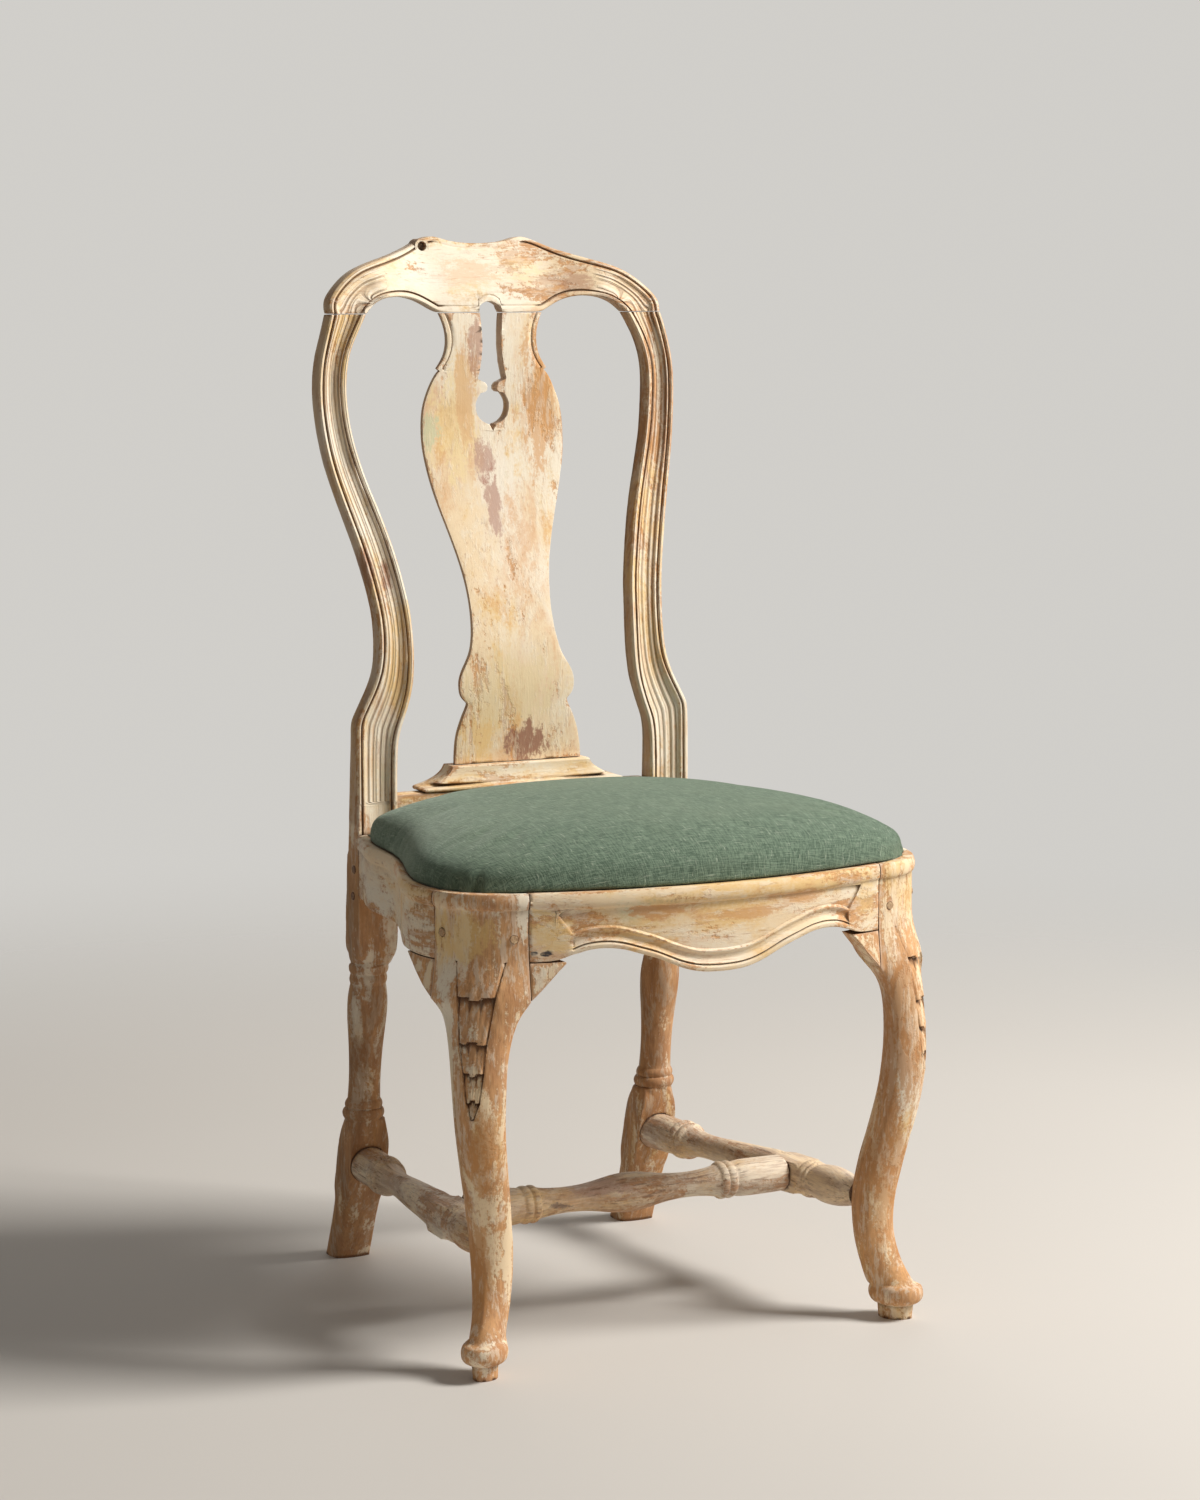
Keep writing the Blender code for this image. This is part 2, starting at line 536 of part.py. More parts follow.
def limb_ring(z, s_in, s_out, half, aside, square):
    """A rounded square seen along its diagonal; square 1 has sharp corners, 2 is round."""
    mid = (s_in + s_out) / 2
    deep = (s_out - s_in) / 2
    ring = []
    for k in (-4, -3, -2, -1, 0, 1, 2, 3, 4, 5, 6, 7, 8, 9):
        a = math.pi / 2 * k / 4 if k <= 4 else math.pi / 2 + math.pi * (k - 4) / 6
        c, s = math.cos(a), math.sin(a)
        power = 2 / (square + 0.25 if c > 0 else square)
        ring.append((mid + deep * math.copysign(abs(c) ** power, c), aside + half * math.copysign(abs(s) ** power, s)))
    return [(*diagonal(s, t), z) for s, t in ring]


LEG_IN = through([
    (0.036, -0.0300), (0.047, -0.0345), (0.062, -0.0390), (0.078, -0.0430), (0.094, -0.0453), (0.110, -0.0466),
    (0.126, -0.0460), (0.143, -0.0432), (0.159, -0.0394), (0.176, -0.0350), (0.192, -0.0303), (0.209, -0.0257),
    (0.225, -0.0218), (0.241, -0.0188), (0.258, -0.0165), (0.274, -0.0153), (0.290, -0.0146), (0.306, -0.0152),
    (0.322, -0.0165), (0.338, -0.0205), (0.352, -0.0275)])
LEG_OUT = through([
    (0.036, 0.0195), (0.048, 0.0115), (0.064, 0.0035), (0.080, -0.0014), (0.096, -0.0034), (0.112, -0.0027),
    (0.128, -0.0004), (0.145, 0.0033), (0.161, 0.0073), (0.178, 0.0120), (0.194, 0.0166), (0.211, 0.0214),
    (0.227, 0.0248), (0.243, 0.0272), (0.260, 0.0287), (0.276, 0.0289), (0.291, 0.0285), (0.307, 0.0277),
    (0.323, 0.0260), (0.339, 0.0242), (0.355, 0.0220)])
LEG_HALF = through([
    (0.036, 0.0172), (0.045, 0.0174), (0.065, 0.0190), (0.084, 0.0203), (0.104, 0.0216), (0.124, 0.0223),
    (0.146, 0.0228), (0.168, 0.0234), (0.190, 0.0242), (0.212, 0.0247), (0.234, 0.0257), (0.255, 0.0264),
    (0.276, 0.0275), (0.303, 0.0291), (0.322, 0.0315), (0.341, 0.0363), (0.350, 0.0405)])


# Husk carved on the knee: height, left edge and right edge measured across the knee
HUSK = [(0.2535, 0.0030, 0.0010), (0.2705, 0.0078, -0.0050), (0.2955, 0.0115, -0.0083), (0.3250, 0.0163, -0.0106),
        (0.3660, 0.0192, -0.0170), (0.3990, 0.0236, -0.0231)]
STEP_DEEP = 0.0024  # how far each tier is cut back under the tier above
GOUGE_DEEP = 0.0010
SCRIBE = 0.0009  # depth and half width of the lines that border the husk
PROUD = 0.0002  # where a carving tool doesn't cut, it runs this far outside the surface


def knee_face(rings, z, t):
    """How far out the leg's surface lies at height z and place t across the knee."""
    i = 0
    while i < len(rings) - 2 and rings[i + 1][0][2] <= z:
        i += 1

    def out_at(ring):
        best = None
        points = [across(x, y) for x, y, _ in ring]
        for (s0, t0), (s1, t1) in zip(points, points[1:] + points[:1]):
            if (t0 - t) * (t1 - t) <= 0 and t0 != t1:
                s = s0 + (s1 - s0) * (t - t0) / (t1 - t0)
                best = s if best is None or s > best else best
        return best

    low, high = rings[i], rings[i + 1]
    share = (z - low[0][2]) / (high[0][2] - low[0][2])
    return out_at(low) * (1 - share) + out_at(high) * share


def carving_tool(name, side, rows):
    """A solid from rows of (inner s, t, z) points, closed by the same points moved well clear of the leg."""
    rings = []
    for row in rows:
        ring = [diagonal(s, t) + (z,) for s, t, z in row]
        ring += [diagonal(s + 0.012, t) + (z,) for s, t, z in row[::-1]]
        rings.append([(side * x, y, z) for x, y, z in ring])
    return helper(solid(name, rings, None))


def husk_tool(name, side, rings):
    """Cuts each tier back under the one above, with upright gouges, between two thin border lines."""
    across_points = 12
    skew = 0.0014
    rows = []
    for k, ((low, left0, right0), (high, left1, right1)) in enumerate(zip(HUSK, HUSK[1:])):
        for share in (0.0, 0.55, 1.0):
            left, right = left0 + (left1 - left0) * share, right0 + (right1 - right0) * share
            tier = k < len(HUSK) - 2
            row = []
            for m in range(across_points + 1):
                t = left + (right - left) * m / across_points
                turn = skew * (-1) ** (min(m, across_points - 1) // 4 + k)
                rough = turn * (1 - share) * (k > 0) - turn * share * tier
                z = low + (high - low) * share + rough + (GAP if share == 0.0 and k else 0.0)
                deep = STEP_DEEP * share ** 1.4 + (GOUGE_DEEP * (0.4 + 0.6 * share) if m % 4 == 2 else 0.0)
                row.append((knee_face(rings, z, t) - (deep if tier and share else -PROUD), t, z))
            for end, t in ((0, left), (-1, right)):
                s, _, z = row[end]
                row[end] = (min(s, knee_face(rings, z, t) - SCRIBE), t, z)
            s, t, z = row[0]
            row.insert(0, (knee_face(rings, z, t + SCRIBE) + PROUD, t + SCRIBE, z))
            s, t, z = row[-1]
            row.append((knee_face(rings, z, t - SCRIBE) + PROUD, t - SCRIBE, z))
            rows.append(row)
    return carving_tool(name + "_husk_tool", side, rows)


def front_leg(name, side, wood):
    block = ((0.0, 0.0172, 0.0122), (0.0135, 0.0186, 0.0132))
    rings = [limb_ring(z, -s, s, t, 0.0005, 1.55) for z, s, t in block]
    pad = ((0.0150, 0.0200, 0.0165), (0.0170, 0.0250, 0.0200), (0.0205, 0.0278, 0.0221), (0.0255, 0.0286, 0.0227),
           (0.0305, 0.0276, 0.0220), (0.0330, 0.0262, 0.0208))
    rings += [limb_ring(z, -s + 0.0005, s + 0.0005, t, 0.0005, 1.95) for z, s, t in pad]
    for z in (0.0362, 0.045, 0.056, 0.068, 0.082, 0.096, 0.111, 0.127, 0.144, 0.161, 0.178, 0.195, 0.213, 0.232,
              0.252, 0.272, 0.291, 0.309, 0.325, 0.338, 0.349):
        aside = 0.0028 * ease(z, 0.02, 0.12)
        square = 1.42 + 0.5 * (1 - ease(z, 0.03, 0.06))
        rings.append(limb_ring(z, LEG_IN(z), LEG_OUT(z), LEG_HALF(z), aside, square))
    for z, out, knee, inner in ((0.3610, 0.0050, 0.0075, 0.0120), (0.372, 0.0036, 0.0062, 0.0050),
                                (0.384, 0.0018, 0.0036, 0.0), (0.397, 0.0004, 0.0010, 0.0), (0.405, 0.0, 0.0, 0.0)):
        rings.append(top_ring(z, out, knee, inner))
    rings += [top_ring(BEAD_LOW + up, out, 0.0, 0.0) for out, up in BEAD]
    leg = solid(name, [[(side * x, y, z) for x, y, z in ring] for ring in rings], wood)
    cut(leg, husk_tool(name, side, rings))
    return leg


def front_knee_block(name, side, wood):
    """The bracket that fills the corner under the front rail; the leg's bulge runs out over it."""
    rings = []
    for x, low in ((SEAM_X - GAP, 0.3615), (0.1800, 0.3690), (0.1710, 0.3780), (0.1620, 0.3880), (0.1545, 0.3955)):
        share = (x - 0.15) / 0.038
        front = apron_face(x)
        top = RAIL_LOW - GAP
        rings.append([(side * x, y, z) for y, z in (
            (front, top), (front - 0.0024 * share, (low + top) / 2), (front - 0.0048 * share, low + 0.0006),
            (front + 0.0015, low), (front + RAIL_THICK - 0.004, low + 0.0010), (front + RAIL_THICK - 0.004, top))])
    return solid(name, rings, wood)


def side_knee_block(name, side, wood):
    rings = []
    for y, low in ((SEAM_Y + GAP, 0.3615), (-0.1760, 0.3690), (-0.1620, 0.3790), (-0.1470, 0.3890), (-0.1340, 0.3955)):
        share = (-0.130 - y) / 0.057
        face = SIDE_FACE(y)
        top = RAIL_LOW - GAP
        rings.append([(side * x, y, z) for x, z in (
            (face, top), (face + 0.0024 * share, (low + top) / 2), (face + 0.0048 * share, low + 0.0006),
            (face - 0.0015, low), (face - RAIL_THICK + 0.004, low + 0.0010), (face - RAIL_THICK + 0.004, top))])
    return solid(name, rings, wood)


# Stretchers

def turned_along(start, end, profile, block):
    """Rings along a line; profile holds (distance, radius, 1 where square)."""
    far = math.dist(start, end)
    ax = [(b - a) / far for a, b in zip(start, end)]
    level = math.hypot(ax[0], ax[1])
    side = (ax[1] / level, -ax[0] / level, 0.0)
    up = (side[1] * ax[2] - side[2] * ax[1], side[2] * ax[0] - side[0] * ax[2], side[0] * ax[1] - side[1] * ax[0])
    rings = []
    for d, radius, square in profile:
        ring = []
        for k in range(TURN):
            a = math.tau * (0.125 + k / TURN)
            c, s = math.cos(a), math.sin(a)
            m = max(abs(c), abs(s))
            c, s = (block * c / m, block * s / m) if square else (radius * c, radius * s)
            far_off = math.hypot(c, s)
            if square and far_off > radius:
                c, s = c * radius / far_off, s * radius / far_off
            ring.append([start[i] + ax[i] * d + side[i] * c + up[i] * s for i in range(3)])
        rings.append(ring)
    return rings, ax


def slide(ring, ax, gap_of):
    """Moves a ring's points along the axis until each lies on a plane."""
    for point in ring:
        step = gap_of(point)
        for i in range(3):
            point[i] += ax[i] * step


def ring_round(start, ax, d, radius):
    """A ring across the line from start along ax, at distance d."""
    far = [start[i] + ax[i] for i in range(3)]
    ring = turned_along(start, far, [(d, radius, 0)], 0.0)[0][0]
    return [tuple(point) for point in ring]


def side_stretcher(name, side, wood, post, leg):
    """Its round ends are let into the post's foot and into the back of the leg."""
    rear = (REAR_END[0], REAR_END[1], REAR_END[2])
    long = math.dist(rear, FRONT_END)
    at = (rear[1] - BLOCK_AT) / (rear[1] - FRONT_END[1]) * long
    half = BLOCK_HALF
    profile = [(0.0, 0.0200, 0), (0.030, 0.0203, 0), (0.052, 0.0192, 0), (0.0545, 0.0185, 0), (0.0560, 0.0200, 0),
               (0.0590, 0.0215, 0), (0.0625, 0.0215, 0), (0.0655, 0.0200, 0), (0.0670, 0.0186, 0),
               (0.0690, 0.0196, 0), (0.0725, 0.0202, 0), (0.0755, 0.0190, 0), (0.0775, 0.0168, 0),
               (0.090, 0.0142, 0), (0.108, 0.0130, 0), (0.130, 0.0136, 0), (0.155, 0.0156, 0),
               (at - 0.060, 0.0176, 0), (at - 0.044, 0.0190, 0), (at - 0.032, 0.0193, 0), (at - 0.027, 0.0188, 0),
               (at - 0.0250, 0.0200, 1), (at - 0.0200, 0.0230, 1), (at + 0.0200, 0.0230, 1), (at + 0.0250, 0.0200, 1),
               (at + 0.027, 0.0185, 0), (at + 0.0285, 0.0200, 0), (at + 0.0315, 0.0205, 0), (at + 0.0345, 0.0195, 0),
               (at + 0.0360, 0.0180, 0), (at + 0.0385, 0.0192, 0), (at + 0.0410, 0.0190, 0), (at + 0.0430, 0.0172, 0),
               (at + 0.050, 0.0190, 0), (at + 0.062, 0.0205, 0), (at + 0.076, 0.0202, 0), (at + 0.090, 0.0180, 0),
               (at + 0.102, 0.0150, 0), (at + 0.112, 0.0130, 0)]
    rings, ax = turned_along(rear, FRONT_END, profile, half)
    socket = helper(solid(name + "_rear_tool", [[(side * x, y, z) for x, y, z in ring] for ring in (
        ring_round(rear, ax, -GAP, profile[0][1] + GAP), ring_round(rear, ax, 0.030, profile[1][1] + GAP))], None))
    tenon = helper(solid(name + "_front_tool", [[(side * x, y, z) for x, y, z in ring] for ring in (
        ring_round(rear, ax, profile[-1][0] + GAP, profile[-1][1] + GAP),
        ring_round(rear, ax, profile[-2][0], profile[-2][1] + GAP))], None))
    cut(post, socket)
    cut(leg, tenon)
    return solid(name, [[(side * x, y, z) for x, y, z in ring] for ring in rings], wood)


def cross_stretcher(wood):
    x_at = REAR_END[0] + (FRONT_END[0] - REAR_END[0]) * (REAR_END[1] - BLOCK_AT) / (REAR_END[1] - FRONT_END[1])
    end = x_at - BLOCK_HALF - 0.0022
    half = [(0.0, 0.0205), (0.012, 0.0200), (0.024, 0.0180), (0.036, 0.0157), (0.050, 0.0138), (0.066, 0.0130),
            (0.082, 0.0136), (0.095, 0.0152), (0.1005, 0.0168), (0.1020, 0.0186), (0.1045, 0.0198), (0.1075, 0.0196),
            (0.1095, 0.0180), (0.1110, 0.0192), (0.1140, 0.0200), (0.1170, 0.0192), (0.1190, 0.0178),
            (0.1240, 0.0188), (0.1300, 0.0195), (0.1500, 0.0196), (end, 0.0190)]
    places = [(-x, r) for x, r in half[:0:-1]] + half
    z = 0.1195
    start, stop = (-end, BLOCK_AT, z), (end, BLOCK_AT, z)
    rings, ax = turned_along(start, stop, [(x + end, r, 0) for x, r in places], 0.0)
    lean = (FRONT_END[0] - REAR_END[0]) / (REAR_END[1] - FRONT_END[1])
    slide(rings[0], ax, lambda p: -(0.0022 - GAP * 1.5 - lean * (p[1] - BLOCK_AT)))
    slide(rings[-1], ax, lambda p: 0.0022 - GAP * 1.5 - lean * (p[1] - BLOCK_AT))
    return solid("cross_stretcher", rings, wood)


# Pegs that pin the joints

def peg(name, point, along, wood, hosts):
    """A peg standing a little proud of its hole; along is the outward direction."""
    far = math.hypot(*along)
    along = [c / far for c in along]
    proud, deep = 0.0006, 0.0090
    inside = [point[i] - along[i] * deep for i in range(3)]
    outside = [point[i] + along[i] * proud for i in range(3)]
    rings = cylinder(inside, outside, PEG, 8)
    obj = solid(name, rings, wood)
    deeper = [point[i] - along[i] * (deep + GAP) for i in range(3)]
    clear_of = [point[i] + along[i] * 0.010 for i in range(3)]
    tool = helper(solid(name + "_tool", cylinder(deeper, clear_of, PEG + GAP, 8), None))
    for host in hosts:
        cut(host, tool)
    return obj


def cylinder(start, end, radius, sides):
    far = math.dist(start, end)
    ax = [(b - a) / far for a, b in zip(start, end)]
    other = (0.0, 0.0, 1.0)
    side = (ax[1] * other[2] - ax[2] * other[1], ax[2] * other[0] - ax[0] * other[2],
            ax[0] * other[1] - ax[1] * other[0])
    long = math.hypot(*side)
    side = [c / long for c in side]
    up = (side[1] * ax[2] - side[2] * ax[1], side[2] * ax[0] - side[0] * ax[2], side[0] * ax[1] - side[1] * ax[0])
    turns = [math.tau * k / sides for k in range(sides)]
    return [[[p[i] + radius * (math.cos(a) * side[i] + math.sin(a) * up[i]) for i in range(3)] for a in turns]
            for p in (start, end)]


def pegs(wood, posts, legs):
    for side, word in ((-1, "left"), (1, "right")):
        outer = SEAT_X + SEAT_HALF_X
        peg("post_peg_upper_" + word, (side * outer, 0.1650, 0.4255), (side, 0, 0), wood, [posts[side]])
        peg("post_peg_lower_" + word, (side * outer, 0.1683, 0.3975), (side, 0, 0), wood, [posts[side]])
        x, y = corner_point(-3.0)
        peg("leg_peg_front_" + word, (side * x, y, 0.4205), (side * 0.10, -1, 0), wood, [legs[side]])
        x, y = corner_point(3.2)
        peg("leg_peg_side_" + word, (side * x, y, 0.4240), (side, -0.10, 0), wood, [legs[side]])


# Drop-in seat

SEAT_REAR = POST_FACE - 0.0060
SLAT_LOW = LEDGE + GAP


def seat_front_bar(wood):
    inset = RIM + FIT
    places = [-0.190, -0.150, -0.110, -0.070, -0.035, 0.0, 0.035, 0.070, 0.110, 0.150, 0.190]
    rings = []
    for x in places:
        y = apron_face(min(max(x, -SEAM_X), SEAM_X)) + inset
        back = y + SLAT_WIDE
        rings.append([(x, y, SLAT_LOW), (x, back, SLAT_LOW), (x, back, SLAT_LOW + SLAT), (x, y, SLAT_LOW + SLAT)])
    return solid("seat_bar_front", rings, wood)


def seat_side_bar(name, side, wood):
    inset = RIM + FIT
    rings = []
    front = apron_face(0.190) + inset + SLAT_WIDE + GAP
    for y in (front, -0.170, -0.140, -0.110, -0.080, -0.045, -0.010, 0.030, 0.070, 0.100, SEAT_REAR - SLAT_WIDE - GAP):
        x = SIDE_FACE(y) - inset
        inner = x - SLAT_WIDE
        rings.append([(side * a, y, z) for a, z in (
            (x, SLAT_LOW), (inner, SLAT_LOW), (inner, SLAT_LOW + SLAT), (x, SLAT_LOW + SLAT))])
    return solid(name, rings, wood)


def seat_rear_bar(wood):
    half = SIDE_FACE(SEAT_REAR) - RIM - FIT - 0.002
    return box("seat_bar_rear", (-half, SEAT_REAR - SLAT_WIDE, SLAT_LOW), (half, SEAT_REAR, SLAT_LOW + SLAT), wood)


def webbing(cloth):
    low = SLAT_LOW + SLAT + GAP
    for k, word in ((-1, "left"), (0, "middle"), (1, "right")):
        x = k * 0.085
        y = apron_face(x) + RIM + FIT + 0.008
        box("webbing_long_" + word, (x - STRAP_WIDE / 2, y, low), (x + STRAP_WIDE / 2, SEAT_REAR - 0.006, low + STRAP),
            cloth)
    low += STRAP + GAP
    for k, word in ((-1, "front"), (0, "middle"), (1, "rear")):
        y = -0.055 + k * 0.085
        half = min(SIDE_FACE(y - STRAP_WIDE / 2), SIDE_FACE(y + STRAP_WIDE / 2)) - RIM - FIT - 0.006
        box("webbing_cross_" + word, (-half, y - STRAP_WIDE / 2, low), (half, y + STRAP_WIDE / 2, low + STRAP), cloth)


def softened(points, rounds):
    """A closed outline drawn towards its neighbours' middle, as cloth bridges a hollow and rounds a corner."""
    for _ in range(rounds):
        points = [tuple((points[i - 1][k] + 2 * points[i][k] + points[(i + 1) % len(points)][k]) / 4 for k in (0, 1))
                  for i in range(len(points))]
    return points


def seat_cushion(cloth):
    """The padded, covered top: it fills the well, swells over the rim and is crowned in the middle."""
    base = SLAT_LOW + SLAT + 2 * (STRAP + GAP) + GAP
    rim = RAIL_TOP + GAP
    well = both_halves(well_outline(RIM + GAP * 2))
    over = softened(both_halves(well_outline(RIM - OVERHANG)), 3)
    mid = (0.0, -0.055)
    rings = []
    for outline, share, z in (
            (well, 0.960, base), (well, 1.0, base + 0.0012), (well, 1.0, rim), (over, 0.993, rim + 0.0012),
            (over, 1.0, rim + 0.0065), (over, 0.998, rim + 0.0150), (over, 0.978, rim + 0.0240),
            (over, 0.935, rim + 0.0320), (over, 0.86, rim + 0.0395), (over, 0.74, rim + 0.0460),
            (over, 0.55, rim + 0.0515), (over, 0.30, rim + CROWN)):
        rings.append([(mid[0] + (x - mid[0]) * share, mid[1] + (y - mid[1]) * share, z) for x, y in outline])
    return solid("seat_cushion", rings, cloth)


def build():
    clear()
    wood = paint("scraped_wood", (0.68, 0.52, 0.34), 0.65)
    pin = paint("peg_wood", (0.36, 0.24, 0.14), 0.7)
    slat = paint("seat_frame_wood", (0.55, 0.42, 0.28), 0.8)
    strap = paint("webbing_jute", (0.50, 0.40, 0.26), 0.9)
    linen = paint("green_linen", (0.11, 0.19, 0.13), 0.85)
    posts = {s: rear_post("rear_post_" + w, s, wood) for s, w in ((-1, "left"), (1, "right"))}
    ear_scroll(crest_rail(wood), wood)
    splat(wood)
    splat_shoe(wood)
    well = seat_well_tool()
    legs = {}
    for side, word in ((-1, "left"), (1, "right")):
        legs[side] = front_leg("front_leg_" + word, side, wood)
        cut(legs[side], well)
        cut(side_rail("side_rail_" + word, side, wood), well)
        front_knee_block("knee_block_front_" + word, side, wood)
        side_knee_block("knee_block_side_" + word, side, wood)
        side_stretcher("side_stretcher_" + word, side, wood, posts[side], legs[side])
        seat_side_bar("seat_bar_" + word, side, slat)
    cut(front_rail(wood), well)
    rear_rail(wood)
    cross_stretcher(wood)
    pegs(pin, posts, legs)
    seat_front_bar(slat)
    seat_rear_bar(slat)
    webbing(strap)
    seat_cushion(linen)


build()
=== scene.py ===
# %% [markdown]
# # A scraped and painted side chair
#
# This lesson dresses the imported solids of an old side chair. The solids give every outline.
# What is added here is what a hand would feel on the real chair: softened arrises, carving,
# worn coats of paint over bare wood, and a stuffed seat in green linen.

# %% Load the frame
import math

import bmesh
import bpy
import numpy as np
from mathutils import Matrix, Vector, noise
from mathutils.kdtree import KDTree


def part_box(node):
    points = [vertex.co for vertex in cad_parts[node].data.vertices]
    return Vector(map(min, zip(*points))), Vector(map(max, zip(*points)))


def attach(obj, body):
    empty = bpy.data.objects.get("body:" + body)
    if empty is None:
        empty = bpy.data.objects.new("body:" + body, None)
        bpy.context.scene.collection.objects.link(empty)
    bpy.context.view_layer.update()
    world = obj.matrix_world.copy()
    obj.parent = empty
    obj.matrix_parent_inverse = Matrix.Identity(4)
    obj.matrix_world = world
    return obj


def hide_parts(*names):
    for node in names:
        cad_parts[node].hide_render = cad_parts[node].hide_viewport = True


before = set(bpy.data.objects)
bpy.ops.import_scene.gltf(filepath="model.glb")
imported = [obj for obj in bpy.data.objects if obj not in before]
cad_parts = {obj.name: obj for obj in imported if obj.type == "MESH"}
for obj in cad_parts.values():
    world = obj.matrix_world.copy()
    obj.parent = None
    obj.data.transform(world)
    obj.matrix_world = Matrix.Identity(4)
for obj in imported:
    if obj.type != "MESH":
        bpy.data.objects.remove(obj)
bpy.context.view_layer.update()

# %% [markdown]
# ## Writing a shader as a sum
#
# Paint that is worn needs many masks. They read best as plain sums, so a socket is wrapped in
# a small class: `1 - mask * 0.5` adds the Math nodes by itself. Every other node comes from
# one method, `node`, that takes its type, its settings and then its values or links.


# %% Sockets that add up
class Value:
    """A socket with arithmetic."""

    def __init__(self, shader, socket):
        self.shader, self.socket = shader, socket

    def math(self, operation, *others):
        return self.shader.node("ShaderNodeMath", {"operation": operation}, {0: self, **{
            i + 1: other for i, other in enumerate(others)}})

    def __add__(self, other): return self.math("ADD", other)
    def __radd__(self, other): return self.math("ADD", other)
    def __sub__(self, other): return self.math("SUBTRACT", other)
    def __rsub__(self, other): return self.math("MULTIPLY", -1.0).math("ADD", other)
    def __mul__(self, other): return self.math("MULTIPLY", other)
    def __rmul__(self, other): return self.math("MULTIPLY", other)

    def clamp(self):
        return self.shader.node("ShaderNodeClamp", {}, {0: self})

    def step(self, low, high):
        """0 below low, 1 above high, smooth between."""
        return self.shader.node("ShaderNodeMapRange", {"interpolation_type": "SMOOTHSTEP"}, {
            "Value": self, "From Min": low, "From Max": high})

    def most(self, other): return self.math("MAXIMUM", other)


class Shader:
    """One material, or the world, and the nodes in it."""

    def __init__(self, name, world=None):
        self.material = world or bpy.data.materials.new(name)
        self.material.use_nodes = True
        self.tree = self.material.node_tree
        self.surface = self.tree.nodes.get("Principled BSDF")

    def node(self, kind, settings, sockets, out=0):
        made = self.tree.nodes.new(kind)
        for key, value in settings.items():
            setattr(made, key, value)
        for key, value in sockets.items():
            self.feed(made.inputs[key], value)
        return Value(self, made.outputs[out])

    def feed(self, socket, value):
        if isinstance(value, Value):
            self.tree.links.new(value.socket, socket)
        elif isinstance(value, tuple) and len(value) == 3 and socket.type == "RGBA":
            socket.default_value = (*value, 1.0)
        else:
            socket.default_value = value

    def mix(self, mask, below, above):
        """Colour below where the mask is 0, above where it is 1."""
        return self.node("ShaderNodeMix", {"data_type": "RGBA"}, {0: mask, 6: below, 7: above}, out=2)

    def place(self, scale=(1.0, 1.0, 1.0), shift=(0.0, 0.0, 0.0)):
        """The point on the object, stretched; a small scale along an axis draws streaks along it."""
        point = self.node("ShaderNodeNewGeometry", {}, {})
        return self.node("ShaderNodeMapping", {}, {"Vector": point, "Scale": scale, "Location": shift})

    def cloud(self, where, scale, detail=4.0, rough=0.55, bend=0.0):
        """Soft noise from 0 to 1, about 0.5 on average."""
        return self.node("ShaderNodeTexNoise", {}, {
            "Vector": where, "Scale": scale, "Detail": detail, "Roughness": rough, "Distortion": bend})

    def spot(self, centre, size, torn):
        """1 inside a blot with this centre and these half sizes, 0 outside; torn frays its edge."""
        point = self.node("ShaderNodeNewGeometry", {}, {})
        away = self.node("ShaderNodeVectorMath", {"operation": "SUBTRACT"}, {0: point, 1: centre})
        away = self.node("ShaderNodeVectorMath", {"operation": "DIVIDE"}, {0: away, 1: size})
        far = self.node("ShaderNodeVectorMath", {"operation": "LENGTH"}, {0: away}, out=1)
        return 1 - (far * 0.55 + torn).step(0.36, 0.62)

    def stored(self, name):
        return self.node("ShaderNodeAttribute", {"attribute_name": name}, {}, out=2)

    def set(self, **sockets):
        for key, value in sockets.items():
            self.feed(self.surface.inputs[key.replace("_", " ")], value)


print("shader helpers ready")

# %% [markdown]
# ## From flat facets to worn wood
#
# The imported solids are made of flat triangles. On the real chair a round-over is smooth, and
# no arris is sharp after two and a half centuries of hands and scrapers. So each wooden solid
# is copied and welded, its triangles are paired into four-sided faces, and a subdivision
# rounds what is curved while creases hold what is crisp. The copy has points every few
# millimetres. That is close enough to rub the arrises down by uneven amounts and to give
# flats a slight wave. Two numbers are stored at every point for the paint: how much it
# stands out, and how much it lies in a hollow.


# %% Copy a solid with fine points
CREASE = 30  # degrees; a sharper edge keeps its line
WELD = 2e-5  # metres; points closer than this become one


def smooth_copy(name, solid, levels=2, longest=0.006):
    mesh = bmesh.new()
    mesh.from_mesh(solid.data)
    bmesh.ops.remove_doubles(mesh, verts=mesh.verts, dist=WELD)
    bmesh.ops.join_triangles(mesh, faces=mesh.faces, angle_face_threshold=math.radians(25),
                             angle_shape_threshold=math.radians(70))
    crease = mesh.edges.layers.float.new("crease_edge")
    for edge in mesh.edges:
        if len(edge.link_faces) != 2 or edge.calc_face_angle(0.0) > math.radians(CREASE):
            edge[crease] = 1.0
    data = bpy.data.meshes.new(name + "_rough")
    mesh.to_mesh(data)
    mesh.free()
    rough = bpy.data.objects.new(name + "_rough", data)
    bpy.context.scene.collection.objects.link(rough)
    rounder = rough.modifiers.new("round", "SUBSURF")
    rounder.levels = rounder.render_levels = levels
    graph = bpy.context.evaluated_depsgraph_get()
    fine = bpy.data.meshes.new_from_object(rough.evaluated_get(graph))
    bpy.data.objects.remove(rough)
    mesh = bmesh.new()
    mesh.from_mesh(fine)
    for _ in range(4):
        long = [edge for edge in mesh.edges if edge.calc_length() > longest]
        if not long:
            break
        bmesh.ops.subdivide_edges(mesh, edges=long, cuts=1, use_grid_fill=True)
    mesh.to_mesh(fine)
    mesh.free()
    fine.name = name
    piece = bpy.data.objects.new(name, fine)
    bpy.context.scene.collection.objects.link(piece)
    return piece


# %% Measure what stands out and what lies in
def points_of(piece):
    co = np.empty(len(piece.data.vertices) * 3)
    piece.data.vertices.foreach_get("co", co)
    return co.reshape(-1, 3)


def normals_of(piece):
    no = np.empty(len(piece.data.vertices) * 3)
    piece.data.vertices.foreach_get("normal", no)
    return no.reshape(-1, 3)


def move_points(piece, co):
    piece.data.vertices.foreach_set("co", co.ravel())
    piece.data.update()


